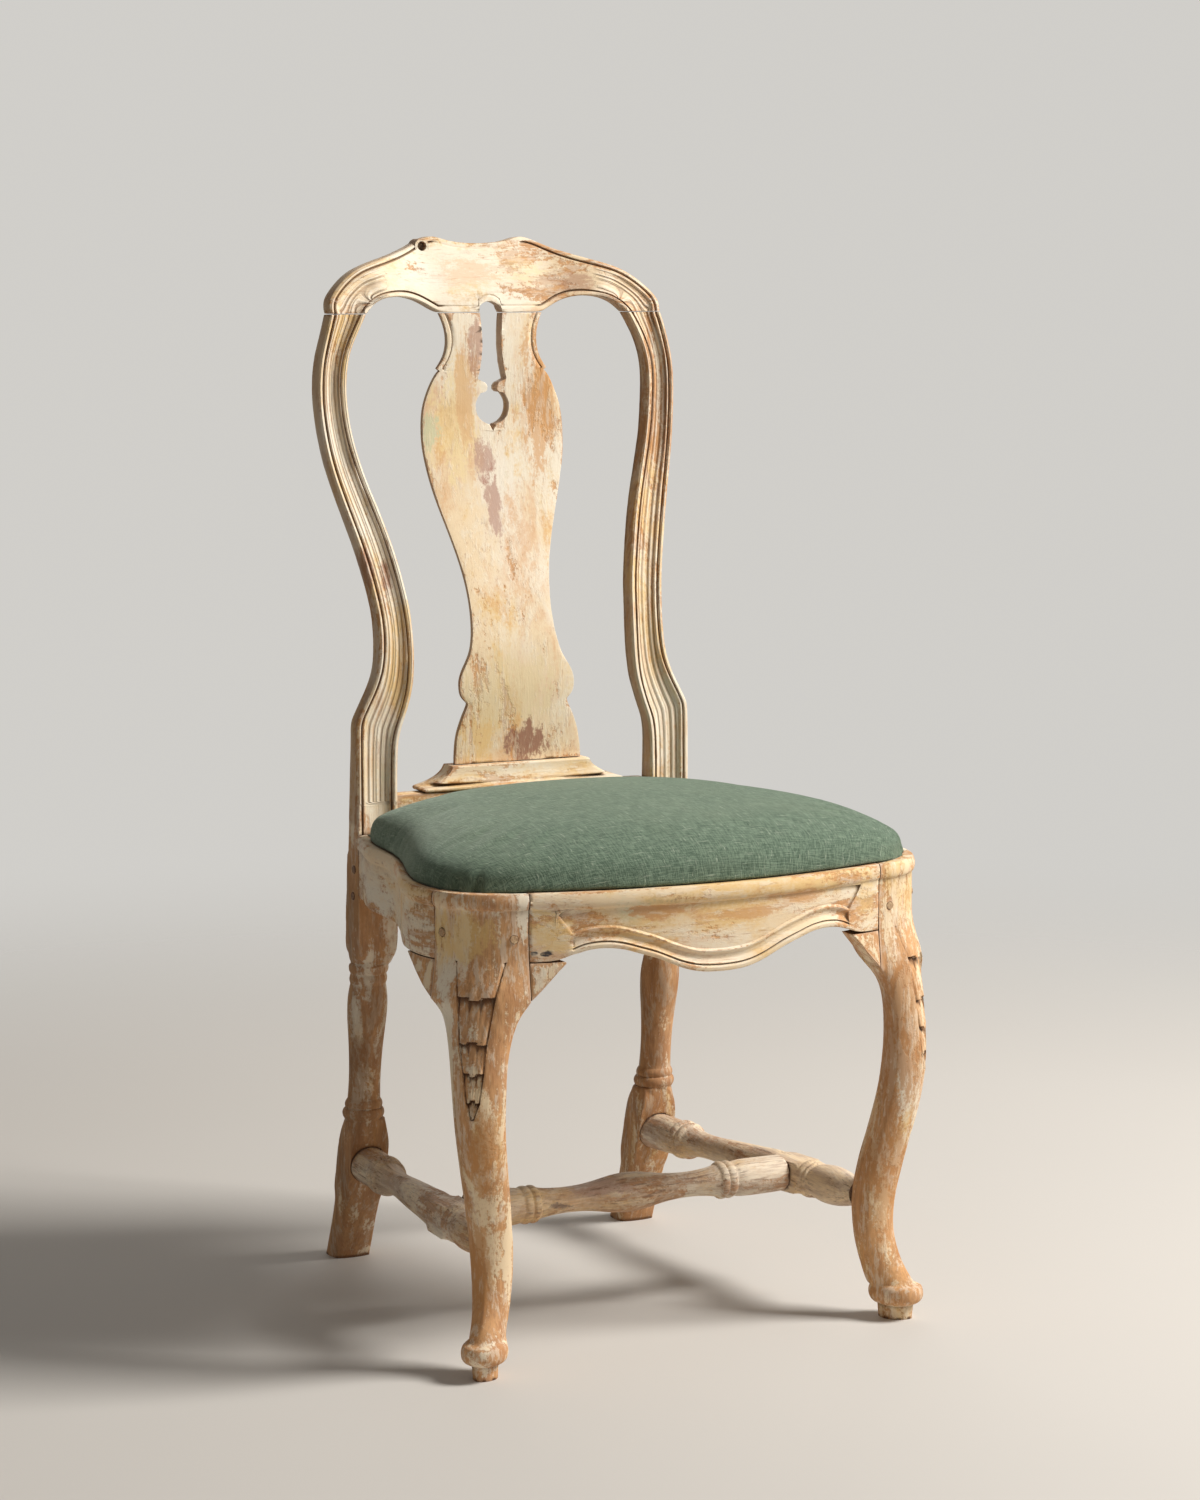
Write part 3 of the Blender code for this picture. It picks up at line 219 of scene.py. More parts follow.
def edges_of(piece):
    ends = np.empty(len(piece.data.edges) * 2, np.int32)
    piece.data.edges.foreach_get("vertices", ends)
    return ends.reshape(-1, 2)


def spread(values, ends, count, rounds):
    """Averages each point's value with its neighbours', several times."""
    for _ in range(rounds):
        total = values.copy()
        weight = np.ones(count)
        for a, b in ((0, 1), (1, 0)):
            total += np.bincount(ends[:, a], values[ends[:, b]], count)
            weight += np.bincount(ends[:, a], minlength=count)
        values = total / weight
    return values


def relief(piece):
    """How far each point stands out from (+) or lies below (-) its neighbours' plane, in radians or so."""
    co, no, ends = points_of(piece), normals_of(piece), edges_of(piece)
    count = len(co)
    way = co[ends[:, 1]] - co[ends[:, 0]]
    long = np.linalg.norm(way, axis=1) + 1e-9
    lift = np.zeros(count)
    weight = np.zeros(count) + 1e-9
    for a, sign in ((0, 1.0), (1, -1.0)):
        lean = -sign * np.einsum("ij,ij->i", way, no[ends[:, a]]) / long
        lift += np.bincount(ends[:, a], lean, count)
        weight += np.bincount(ends[:, a], minlength=count)
    return lift / weight, ends


def store(piece, name, values):
    layer = piece.data.attributes.get(name) or piece.data.attributes.new(name, "FLOAT", "POINT")
    layer.data.foreach_set("value", values.astype(np.float32))


# %% Rub the arrises down
def wave(co, scale, seed):
    """Seeded noise at each point, about -1 to 1."""
    shift = Vector((seed * 1.7, seed * 3.1, seed * 0.9))
    return np.array([noise.noise(Vector(point) * scale + shift) for point in co])


def rub(piece, seed, worn=0.0007, bow=0.00025):
    out, ends = relief(piece)
    count = len(out)
    co, no = points_of(piece), normals_of(piece)
    arris = np.clip(spread(np.clip(out, 0, 1), ends, count, 1) * 2.2, 0, 1)
    uneven = np.clip(0.35 + 0.9 * wave(co, 38.0, seed) + 0.4 * wave(co, 120.0, seed + 5), 0, 1.3)
    flat = np.clip(co[:, 2] / 0.004, 0, 1)  # the feet's undersides stay flat
    move = -arris * uneven * worn * 2 + wave(co, 16.0, seed + 9) * bow - bow * 0.6
    move_points(piece, co + no * (move * flat)[:, None])
    out, ends = relief(piece)
    store(piece, "arris", np.clip(spread(np.clip(out, 0, 1), ends, count, 1) * 3.0, 0, 1))
    store(piece, "hollow", np.clip(spread(np.clip(-out, 0, 1), ends, count, 1) * 3.0, 0, 1))


def finish_shading(piece, angle=38):
    piece.data.shade_smooth()
    piece.data.set_sharp_from_angle(angle=math.radians(angle))


# %% [markdown]
# ## Carving on the knees
#
# Each front knee carries a husk: a pointed panel that hangs from the rail, in stepped tiers,
# each cut back under the end of the tier above, with upright gouge marks between two long
# scribed lines. The solid has its steps. Here the points near the husk are made denser, the
# cuts under the tiers go a little deeper, and every cut is stored so that painted shadow and
# dirt can be laid in it. A carver's gouge leaves no two cuts alike, so all of it wavers.


# %% Deepen and roughen the husk
LEG_MIDDLE = 0.224  # the leg's foot stands this far out and this far forward
HUSK_HIGH = np.array([0.2535, 0.2705, 0.2955, 0.3250, 0.3660, 0.3990])
HUSK_LEFT = np.array([0.0030, 0.0078, 0.0115, 0.0163, 0.0192, 0.0236])
HUSK_RIGHT = np.array([0.0010, -0.0050, -0.0083, -0.0106, -0.0170, -0.0231])


def across_knee(co, side):
    """How far out, and how far across towards the side rail, a point lies on a front leg."""
    x, y = side * co[0] - LEG_MIDDLE, co[1] + LEG_MIDDLE
    return (x - y) / math.sqrt(2), (x + y) / math.sqrt(2)


def refine_husk(piece, side):
    mesh = bmesh.new()
    mesh.from_mesh(piece.data)
    for longest in (0.0032, 0.0020, 0.0013):
        near = []
        for edge in mesh.edges:
            mid = (edge.verts[0].co + edge.verts[1].co) / 2
            s, t = across_knee(mid, side)
            if 0.251 < mid.z < 0.401 and s > 0.002 and abs(t) < 0.026 and edge.calc_length() > longest:
                near.append(edge)
        bmesh.ops.subdivide_edges(mesh, edges=near, cuts=1, use_grid_fill=True)
    mesh.normal_update()
    mesh.to_mesh(piece.data)
    mesh.free()


def husk_cuts(z, t, waver):
    """For each point: how far up its tier it lies, how near a gouge or a border line, all 0 to 1."""
    left, right = np.interp(z, HUSK_HIGH, HUSK_LEFT), np.interp(z, HUSK_HIGH, HUSK_RIGHT)
    place = (t - left) / (right - left)
    third = np.clip(np.floor(place * 3), 0, 2)
    lobe = np.abs(np.sin(place * 3 * np.pi))
    up = np.zeros(len(z))
    step = 0.0014 * (-1.0) ** third  # a tier's end lies higher and lower by turns from lobe to lobe
    for k in range(4):
        low = HUSK_HIGH[k] + (step * (-1.0) ** k if k else 0)
        high = HUSK_HIGH[k + 1] - step * (-1.0) ** k
        share = (z + waver * 0.0006 - low) / (high - low)
        up = np.where((share >= 0) & (share < 1), share, up)
    inside = (place > 0.02) & (place < 0.98)
    gouge = (1 - lobe) ** 3 * inside * (z < HUSK_HIGH[4])
    border = np.exp(-((t - left) / 0.0010) ** 2) + np.exp(-((t - right) / 0.0010) ** 2)
    return up * inside, gouge, border * (z > HUSK_HIGH[0]) * (z < HUSK_HIGH[5])


def deepen_husk(piece, side):
    refine_husk(piece, side)
    co, no = points_of(piece), normals_of(piece)
    s, t = across_knee(co.T, side)
    on = (s > 0.002) & (np.abs(t) < 0.027) & (co[:, 2] > 0.250) & (co[:, 2] < 0.402)
    cut = np.zeros(len(co))
    waver = np.array([noise.noise(Vector((p[0] * 230, p[1] * 230, p[2] * 110))) for p in co[on]])
    up, gouge, border = husk_cuts(co[on, 2], t[on], waver)
    under = np.clip((up - 0.55) / 0.45, 0, 1) ** 1.5
    # painted shadow, with dirt, under each tier's end, in the gouges and along the scribed lines
    dirt_and_shade_in_cuts = under * 1.1 + gouge * (0.25 + 0.75 * up) * 0.7 + border * 0.8 * (0.75 + 0.5 * waver)
    cut[on] = np.clip(dirt_and_shade_in_cuts, 0, 1)
    deep = under * 0.0017 + gouge * up * 0.0008 + border * 0.0007 + waver * 0.0004
    way = np.array([side, -1.0, 0.0]) / math.sqrt(2)
    co[on] -= way * deep[:, None]
    move_points(piece, co)
    store(piece, "cut", cut)
    print(piece.name, "husk points:", int(on.sum()))


# %% [markdown]
# ## Lines along the bow
#
# One moulding runs up the posts and over the crest. Dirt, painted shade, painted highlights
# and worn paint follow it, so each point on its face stores its place between the outer edge,
# 0, and the inner edge, 1. The flanks, turned away from front and back, are stored too: they
# get painted shade.


# %% Measure across the moulding
BOW_MIDDLE = (0.0, 0.83)  # across and up
BOW_FOOT = 0.49  # the moulding starts at this height
EAR = 0.118  # and ends this far from the chair's middle
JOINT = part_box("rear_post_left")[1].z  # the posts meet the crest at this height


def measure_bow(piece):
    co, no = points_of(piece), normals_of(piece)
    bow = (co[:, 2] > BOW_FOOT) & (np.abs(co[:, 0]) > EAR)
    butt = (np.abs(co[:, 2] - JOINT) < 0.003) & (np.abs(no[:, 2]) > 0.6)
    side = bow & (np.abs(no[:, 1]) < 0.35) & ~butt
    away = co[:, [0, 2]] - BOW_MIDDLE
    outer = side & ((no[:, [0, 2]] * away).sum(1) > 0)
    inner = side & ~outer
    trees = []
    for those in (outer, inner):
        tree = KDTree(int(those.sum()))
        for k, i in enumerate(np.flatnonzero(those)):
            tree.insert((co[i, 0], 0.0, co[i, 2]), k)
        tree.balance()
        trees.append(tree)
    across = np.where(inner, 1.0, 0.0)
    front = bow & (no[:, 1] < -0.35)
    for i in np.flatnonzero(front):
        out, into = (tree.find((co[i, 0], 0.0, co[i, 2]))[2] for tree in trees)
        across[i] = out / max(out + into, 1e-6)
    store(piece, "across", across)
    store(piece, "moulded", (front | side) * np.clip((np.abs(co[:, 0]) - EAR) / 0.010, 0, 1))
    print(piece.name, "face points:", int(front.sum()))


# %% Dress the wooden solids
WOOD = [name for name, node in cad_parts.items()
        if node.material_slots[0].material.name.startswith("scraped")]
skins = {}
for seed, name in enumerate(sorted(WOOD)):
    piece = smooth_copy(name + "_worn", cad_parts[name])
    if name.startswith("front_leg"):
        deepen_husk(piece, -1 if name.endswith("left") else 1)
    if name.startswith("rear_post") or name == "crest_rail":
        measure_bow(piece)
    # flank marks the faces turned away from front and back, which get painted shade
    if name.startswith("rear_post") or name in ("crest_rail", "splat"):
        level = np.abs(normals_of(piece)[:, 1])
        store(piece, "flank", np.clip((0.55 - level) / 0.3, 0, 1) * (points_of(piece)[:, 2] > 0.47))
    rub(piece, seed)
    finish_shading(piece)
    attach(piece, "root")
    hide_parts(name)
    skins[name] = piece
print("wooden pieces:", len(skins), "faces:", sum(len(p.data.polygons) for p in skins.values()))

# %% [markdown]
# ## Old paint, scraped back
#
# The frame was painted more than once: a yellow ochre, a plum brown and at last a pale bone
# colour. It was then scraped dry, so what is left is thin and streaked along the grain, and
# the orange-tan wood shows where the scraper bit: on arrises, along the legs, in bands.
# Dirt stayed in every hollow, and shade is painted there as well. Each coat is a mask laid
# over the one below. The masks follow the grain, so the material is made once for each way the
# wood runs.


# %% The coats of paint
CREAM = (0.84, 0.655, 0.425)
BONE = (0.87, 0.765, 0.60)
OCHRE = (0.80, 0.525, 0.205)
BARE = (0.46, 0.185, 0.055)
TAN = (0.68, 0.345, 0.135)
PLUM = (0.29, 0.135, 0.095)
GREEN = (0.56, 0.575, 0.375)
# pale chalk with painted highlight, for the arrises and the moulding's ridges
CHALK_AND_HIGHLIGHT = (0.90, 0.82, 0.70)
DIRT_AND_SHADE_TONE = (0.090, 0.036, 0.012)
SOOT = (0.02, 0.025, 0.035)
FIBRE = (0.27, 0.11, 0.035)
SCRATCH = (0.40, 0.18, 0.07)
DUSK = (0.26, 0.125, 0.048)
SMUDGE = (0.20, 0.095, 0.042)
BROWN = (0.22, 0.105, 0.042)
GREY_MAUVE = (0.42, 0.285, 0.205)
CHECK = (0.19, 0.105, 0.065)
CUT_SHADOW_AND_DIRT = (0.11, 0.046, 0.018)
FLANK_SHADE = (0.31, 0.145, 0.058)
STREAK = (0.46, 0.225, 0.085)
GROOVE_DIRT_AND_SHADE = (0.16, 0.065, 0.022)


# %% Noises that follow the grain
class Grain(Shader):
    """A shader for wood whose grain runs along axis 0, 1 or 2, with the noises that its coats share."""

    def __init__(self, name, axis, shift):
        super().__init__(name)
        self.axis, self.shift = axis, shift
        self.even = self.place((1, 1, 1), (shift, 0, 0))
        self.arris, self.hollow = self.stored("arris"), self.stored("hollow")
        self.fibre = self.cloud(self.along(0.10, 0.0), 620.0, 3.0, 0.6)
        self.band = self.cloud(self.along(0.12, 1.0), 95.0, 5.0, 0.62)
        self.lick = self.cloud(self.along(0.30, 2.0), 42.0, 6.0, 0.68, 0.5)
        self.fleck = self.cloud(self.even, 240.0, 4.0, 0.7)
        self.broken = (self.fleck - 0.5) * 0.45 + (self.band - 0.5) * 0.55

    def along(self, share, seed):
        """The points pressed together along the grain, so that a noise draws streaks there."""
        stretch = [1.0, 1.0, 1.0]
        stretch[self.axis] = share
        return self.place(tuple(stretch), (self.shift + seed, self.shift * 0.7, self.shift * 0.4 - seed))


# %% Wood, and the coats over it
def bare_wood(sh):
    wood = sh.mix(sh.band.step(0.35, 0.65), BARE, TAN)
    return sh.mix(sh.fibre.step(0.42, 0.72) * 0.40, wood, FIBRE)


def old_coats(sh):
    """Bone over cream, with patches of the older coats showing through."""
    bone = sh.cloud(sh.along(0.5, 3.0), 10.0, 5.0, 0.6) + sh.broken * 0.5
    coat = sh.mix(bone.step(0.42, 0.60), CREAM, BONE)
    patches = (  # where, how ragged, from what to what, how strong, which colour
        (sh.cloud(sh.along(0.5, 4.0), 14.0, 5.0, 0.62, 0.4), 0.5, (0.50, 0.64), 0.80, OCHRE),
        (sh.cloud(sh.along(0.5, 5.0), 16.0, 5.0, 0.60, 0.3), 0.4, (0.60, 0.74), 0.50, GREEN),
        (sh.cloud(sh.along(0.4, 6.0), 19.0, 6.0, 0.66, 0.5), 0.7, (0.50, 0.72), 0.60, TAN),
        (sh.cloud(sh.along(0.3, 7.0), 30.0, 6.0, 0.68, 0.5), 0.9, (0.68, 0.84), 0.60, PLUM))
    for where, ragged, span, strength, tint in patches:
        coat = sh.mix((where + sh.broken * ragged).step(*span) * strength, coat, tint)
    return coat


# %% What the scraper took
def below(sh, height):
    """1 below this height, with an uneven edge."""
    z = sh.node("ShaderNodeSeparateXYZ", {}, {0: sh.even}, out=2)
    return 1 - (z + (sh.lick - 0.5) * 0.10).step(height - 0.03, height + 0.03)


def taken_off(sh, bare, low):
    """1 where the wood is bare: more of it on an arris, less in a hollow."""
    uneven = sh.cloud(sh.along(0.4, 8.0), 12.0, 3.0, 0.6) - 0.5
    worn = sh.lick + sh.broken + sh.arris * 0.30 - sh.hollow * 0.15 + uneven * 0.9
    if low:
        worn = worn + low * 0.25
    return worn.step(0.72 - 0.28 * bare, 0.84 - 0.28 * bare)


def blotted(sh, colour, blots, thin):
    """Each blot lies on what faces forward, and is thin where the scraper went over it."""
    torn = sh.broken * 1.5 + (sh.cloud(sh.along(0.35, 11.0), 85.0, 6.0, 0.75, 0.4) - 0.5) * 1.6
    facing = sh.node("ShaderNodeNewGeometry", {}, {}, out=1)
    front = 1 - sh.node("ShaderNodeSeparateXYZ", {}, {0: facing}, out=1).step(0.20, 0.70)
    for centre, size, tint, share in blots:
        colour = sh.mix(sh.spot(centre, size, torn) * front * thin * share, colour, tint)
    return colour


# %% [markdown]
# ## Dirt, painted shade, and the lines of the moulding
#
# Dirt settles where nothing rubs, and shade is painted into the same hollows: an Ambient
# Occlusion node finds the narrow and the wide ones, and noise breaks them up. On the bow the
# scraper followed the moulding, so the ridges there are painted pale, as chalk and highlight, and
# the grooves dark, as dirt and shade, by the place across it that was stored.


# %% Dirt, painted shade and weather
def dirtied_and_shaded(sh, colour, dirt_and_shade, low):
    # painted shade: Ambient Occlusion darkens the narrow and the wide hollows and the joints between pieces
    near = sh.node("ShaderNodeAmbientOcclusion", {"samples": 6}, {"Distance": 0.006}, out=1)
    wide = sh.node("ShaderNodeAmbientOcclusion", {"samples": 4}, {"Distance": 0.030}, out=1)
    line, deep = (1 - near).step(0.20, 0.70), (1 - wide).step(0.25, 0.85)
    dusk = sh.cloud(sh.along(0.5, 10.0), 11.0, 5.0, 0.62, 0.3) + sh.broken * 0.6 + sh.hollow * 0.35
    dusk = dusk.step(0.66 - 0.16 * dirt_and_shade, 0.92)
    colour = sh.mix(dusk * (0.25 + 0.5 * dirt_and_shade), colour, DUSK)
    smudge = (sh.cloud(sh.along(0.35, 13.0), 55.0, 6.0, 0.72, 0.3) + sh.broken * 0.8).step(0.56, 0.80)
    colour = sh.mix(smudge * (0.10 + 0.50 * dirt_and_shade), colour, SMUDGE)
    # dirt and painted shade together, in the hollows, at the joints and in the wide recesses
    hollow_dirt_and_shade = (sh.hollow * 0.95 + line * 1.0 + deep * 0.5 + sh.broken * 0.6).step(0.40 - 0.14 * dirt_and_shade, 0.98)
    colour = sh.mix((hollow_dirt_and_shade * (0.55 + 0.4 * dirt_and_shade)).clamp(), colour, DIRT_AND_SHADE_TONE)
    if low:
        brown = low * (0.36 + dusk * 0.35 + (sh.lick - 0.5) * 1.6).clamp()
        colour = sh.mix(brown, colour, BROWN)
    return colour


def weathered(sh, colour, grey):
    """Greyed wood with fine dark checks along the grain."""
    colour = sh.mix(grey * (sh.band + (sh.fibre - 0.5) * 0.5).step(0.25, 0.70), colour, GREY_MAUVE)
    check = (sh.cloud(sh.along(0.05, 14.0), 380.0, 3.0, 0.7) + (sh.lick - 0.5) * 0.5).step(0.56, 0.68)
    return sh.mix(check * 0.60, colour, CHECK)


# %% Ridges and grooves of the moulding
RIDGES = (0.08, 0.245, 0.36, 0.53, 0.77, 0.93)  # places across the moulding
GROOVES = ((0.30, 0.9), (0.43, 0.6), (0.60, 0.75), (0.71, 0.9))  # places, and how dark


def lined(sh, colour):
    """The colour with the moulding's lines, chalk and painted highlight on the ridges, dirt and painted
    shade in the grooves; and how high they stand.
    """
    across, moulded = sh.stored("across"), sh.stored("moulded")
    drift = sh.cloud(sh.even, 6.0, 2.0) * 0.01
    run = sh.node("ShaderNodeCombineXYZ", {}, {0: across * 0.040, 1: drift, 2: 0.0})
    streak = sh.cloud(run, 210.0, 3.0, 0.6)
    wander = (sh.band - 0.5) * 0.02
    grooves = sum((1 - (across + wander - at).math("ABSOLUTE").step(0.010, 0.030)) * dark
                  for at, dark in GROOVES)
    ridges = sum((1 - (across - at).math("ABSOLUTE").step(0.008, 0.040)) for at in RIDGES)
    # pale chalk and painted highlight along the ridges
    ridge_chalk_and_highlight = (sh.fleck + sh.band - 0.5).step(0.35, 0.65) * 0.55
    colour = sh.mix(ridges.clamp() * moulded * ridge_chalk_and_highlight, colour, CHALK_AND_HIGHLIGHT)
    colour = sh.mix(streak.step(0.50, 0.66) * moulded * (0.25 + sh.lick * 0.4), colour, STREAK)
    # dirt and painted shade along the grooves
    dirt_and_shade_in_cuts = (grooves * moulded * (0.45 + (sh.lick - 0.3) * 1.2)).clamp() * 0.85
    return sh.mix(dirt_and_shade_in_cuts, colour, GROOVE_DIRT_AND_SHADE), (ridges * 0.9 - grooves * 1.6) * moulded


# %% All the coats together
def scraped(name, grain, bare, dirt_and_shade, grey=0.0, shift=0.0, blots=(), lines=False, brown_below=None):
    """Worn paint with dirt, painted shade and painted highlights, on wood whose grain runs along axis 0, 1
    or 2. bare, and dirt with painted shade, go from 0 to 1.
    """
    sh = Grain(name, grain, shift)
    low = below(sh, brown_below) if brown_below else None
    bare_mask = taken_off(sh, bare, low)
    colour = sh.mix(bare_mask * 0.85, old_coats(sh), bare_wood(sh))
    scrape = (sh.fibre + (sh.lick - 0.5) * 0.8).step(0.52, 0.78) * 0.30
    colour = sh.mix(scrape, colour, BARE)
    scumble = (sh.cloud(sh.along(0.25, 9.0), 150.0, 5.0, 0.7) + (sh.lick - 0.5) * 0.7).step(0.52, 0.64)
    colour = sh.mix(scumble * 0.48, colour, BONE)
    scratch = (sh.cloud(sh.along(0.06, 12.0), 420.0, 3.0, 0.7) + (sh.lick - 0.5) * 0.35).step(0.60, 0.70)
    colour = sh.mix(scratch * 0.42, colour, SCRATCH)
    colour = blotted(sh, colour, blots, 1 - scumble * 0.45 - scrape)
    # pale chalk and painted highlight on the arrises, with less roughness there
    arris_chalk_and_highlight = (sh.arris * 1.1 + sh.broken * 0.7).step(0.30, 0.80) * 0.55
    colour = sh.mix(arris_chalk_and_highlight * (1 - bare_mask * 0.5), colour, CHALK_AND_HIGHLIGHT)
    colour = dirtied_and_shaded(sh, colour, dirt_and_shade, low)
    if grey:
        colour = weathered(sh, colour, grey)
    specks = sh.cloud(sh.even, 70.0, 3.0, 0.75).step(0.775, 0.80)
    colour = sh.mix(specks * 0.8, colour, SOOT)
    # painted shadow and dirt in the husk's cuts
    colour = sh.mix((sh.stored("cut") * 1.2 + sh.broken * 0.6).step(0.45, 1.05) * 0.80, colour, CUT_SHADOW_AND_DIRT)
    # painted shade on the flanks
    colour = sh.mix((sh.stored("flank") * (0.55 + (sh.lick - 0.5) * 1.2)).clamp(), colour, FLANK_SHADE)
    height = (1 - bare_mask) * 0.45 + sh.fibre * 0.22 + sh.fleck * 0.22 - specks * 0.3
    height = height + sh.band * 0.15 + scumble * 0.15
    if lines:
        colour, rise = lined(sh, colour)
        height = height + rise
    sh.set(Base_Color=colour, Roughness=0.64 + bare_mask * 0.14 - arris_chalk_and_highlight * 0.1)
    sh.set(Normal=sh.node("ShaderNodeBump", {}, {"Strength": 0.75, "Distance": 0.0009, "Height": height}))
    sh.surface.inputs["Specular IOR Level"].default_value = 0.32
    return sh.material


# %% Blots seen on the chair: centre, half sizes, colour and strength
SPLAT_BLOTS = [
    ((-0.045, 0.230, 0.880), (0.030, 0.06, 0.060), (0.86, 0.66, 0.32), 0.55),
    ((0.052, 0.230, 0.890), (0.020, 0.06, 0.075), (0.66, 0.34, 0.125), 0.70),
    ((-0.032, 0.232, 0.905), (0.012, 0.06, 0.050), (0.68, 0.37, 0.17), 0.55),
    ((-0.072, 0.231, 0.869), (0.012, 0.05, 0.018), GREEN, 0.70),
    ((-0.002, 0.222, 0.815), (0.022, 0.06, 0.048), (0.88, 0.79, 0.66), 0.60),
    ((-0.012, 0.226, 0.838), (0.012, 0.05, 0.022), (0.44, 0.215, 0.155), 0.70),
    ((-0.006, 0.218, 0.792), (0.009, 0.05, 0.036), (0.42, 0.205, 0.150), 0.70),
    ((-0.018, 0.232, 0.955), (0.009, 0.05, 0.028), (0.44, 0.22, 0.145), 0.70),
    ((-0.010, 0.180, 0.600), (0.055, 0.06, 0.035), (0.78, 0.62, 0.36), 0.55),
    ((0.011, 0.173, 0.546), (0.027, 0.05, 0.020), (0.30, 0.125, 0.075), 0.88)]
CREST_BLOTS = [
    ((-0.018, 0.251, 1.030), (0.036, 0.06, 0.015), (0.76, 0.45, 0.24), 0.50),
    ((0.096, 0.238, 1.022), (0.024, 0.06, 0.010), (0.42, 0.20, 0.12), 0.60),
    ((0.047, 0.253, 1.036), (0.022, 0.06, 0.012), (0.88, 0.70, 0.40), 0.50),
    ((-0.075, 0.240, 1.025), (0.030, 0.06, 0.016), (0.88, 0.80, 0.69), 0.45)]
FRONT_BLOTS = [
    ((-0.064, -0.273, 0.441), (0.034, 0.05, 0.008), (0.60, 0.28, 0.095), 0.75),
    ((0.024, -0.276, 0.432), (0.045, 0.05, 0.006), (0.60, 0.29, 0.10), 0.65),
    ((0.085, -0.270, 0.442), (0.036, 0.05, 0.007), (0.60, 0.28, 0.10), 0.65),
    ((-0.169, -0.253, 0.428), (0.022, 0.05, 0.020), (0.82, 0.56, 0.22), 0.65),
    ((0.169, -0.253, 0.430), (0.018, 0.05, 0.020), (0.80, 0.56, 0.25), 0.55),
    ((-0.183, -0.250, 0.4065), (0.003, 0.03, 0.0022), SOOT, 0.95),
    ((-0.172, -0.252, 0.4055), (0.005, 0.03, 0.0026), SOOT, 0.95)]
LEG_BLOTS = [
    ((-0.244, -0.216, 0.423), (0.030, 0.04, 0.022), (0.82, 0.56, 0.22), 0.65),
    ((0.235, -0.216, 0.430), (0.030, 0.04, 0.020), (0.82, 0.58, 0.26), 0.50),
    ((-0.233, -0.244, 0.220), (0.016, 0.05, 0.040), (0.54, 0.255, 0.085), 0.75),
    ((-0.230, -0.220, 0.100), (0.012, 0.05, 0.045), (0.56, 0.27, 0.095), 0.75),
    ((0.216, -0.250, 0.300), (0.026, 0.05, 0.100), (0.50, 0.235, 0.085), 0.75),
    ((0.212, -0.240, 0.140), (0.022, 0.05, 0.070), (0.52, 0.25, 0.09), 0.65)]
STRETCHER_BLOTS = [
    ((-0.034, -0.090, 0.132), (0.030, 0.03, 0.010), (0.50, 0.30, 0.25), 0.65),
    ((-0.060, -0.090, 0.138), (0.020, 0.03, 0.006), (0.80, 0.74, 0.68), 0.60),
    ((-0.080, -0.090, 0.118), (0.012, 0.03, 0.004), (0.07, 0.05, 0.05), 0.80)]
POST_BLOTS = [
    ((-0.148, 0.175, 0.722), (0.006, 0.05, 0.016), (0.34, 0.14, 0.075), 0.80),
    ((-0.168, 0.175, 0.734), (0.006, 0.05, 0.020), (0.36, 0.16, 0.10), 0.70),
    ((-0.189, 0.180, 0.390), (0.018, 0.05, 0.030), (0.50, 0.26, 0.10), 0.60),
    ((-0.189, 0.190, 0.200), (0.018, 0.05, 0.050), (0.42, 0.22, 0.10), 0.60)]

# %% Give each piece its coat
upright = scraped("scraped_paint_upright", 2, bare=0.46, dirt_and_shade=0.66,
                  blots=POST_BLOTS, lines=True, brown_below=0.445)
crosswise = scraped("scraped_paint_crosswise", 0, bare=0.50, dirt_and_shade=0.50, shift=3.0,
                    blots=CREST_BLOTS, lines=True)
front_coat = scraped("scraped_paint_front_rail", 0, bare=0.45, dirt_and_shade=0.40, shift=4.0, blots=FRONT_BLOTS)
fore_aft = scraped("scraped_paint_fore_and_aft", 1, bare=0.66, dirt_and_shade=0.85, shift=5.0)
leg_coat = scraped("scraped_paint_on_legs", 2, bare=0.92, dirt_and_shade=0.72, shift=7.0, blots=LEG_BLOTS)
turned_x = scraped("scraped_paint_cross_stretcher", 0, bare=0.60, dirt_and_shade=0.78, grey=0.66, shift=9.0,
                   blots=STRETCHER_BLOTS)
turned_y = scraped("scraped_paint_side_stretchers", 1, bare=0.62, dirt_and_shade=0.90, grey=0.72, shift=11.0)
splat_coat = scraped("scraped_paint_on_splat", 2, bare=0.40, dirt_and_shade=0.24, shift=13.0, blots=SPLAT_BLOTS)
COATS = {"front_leg": leg_coat, "knee_block": leg_coat, "side_stretcher": turned_y, "side_rail": fore_aft,
         "rear_post": upright, "cross_stretcher": turned_x, "splat_shoe": crosswise, "splat": splat_coat,
         "front_rail": front_coat}


def coat_for(name):
    return next((coat for start, coat in COATS.items() if name.startswith(start)), crosswise)


for name, piece in skins.items():
    piece.data.materials.clear()
    piece.data.materials.append(coat_for(name))
print("coats:", len(set(COATS.values())), "on", len(skins), "pieces")

# %% [markdown]
# ## Pegs, seat frame and webbing
#
# The pegs show dark end grain. The seat's frame is rough sawn pine, and jute straps cross
# over it to carry the stuffing. Both are seen only from below, so their shape stays as it is
# and the material does the rest.


# %% End grain, sawn wood and jute
def end_grain(name, deep, pale):
    sh = Shader(name)
    rings = sh.cloud(sh.place(), 420.0, 5.0, 0.7)
    sh.set(Base_Color=sh.mix(rings.step(0.35, 0.7), deep, pale), Roughness=0.75)
    sh.set(Normal=sh.node("ShaderNodeBump", {}, {"Strength": 0.6, "Distance": 0.0005, "Height": rings}))
    return sh.material


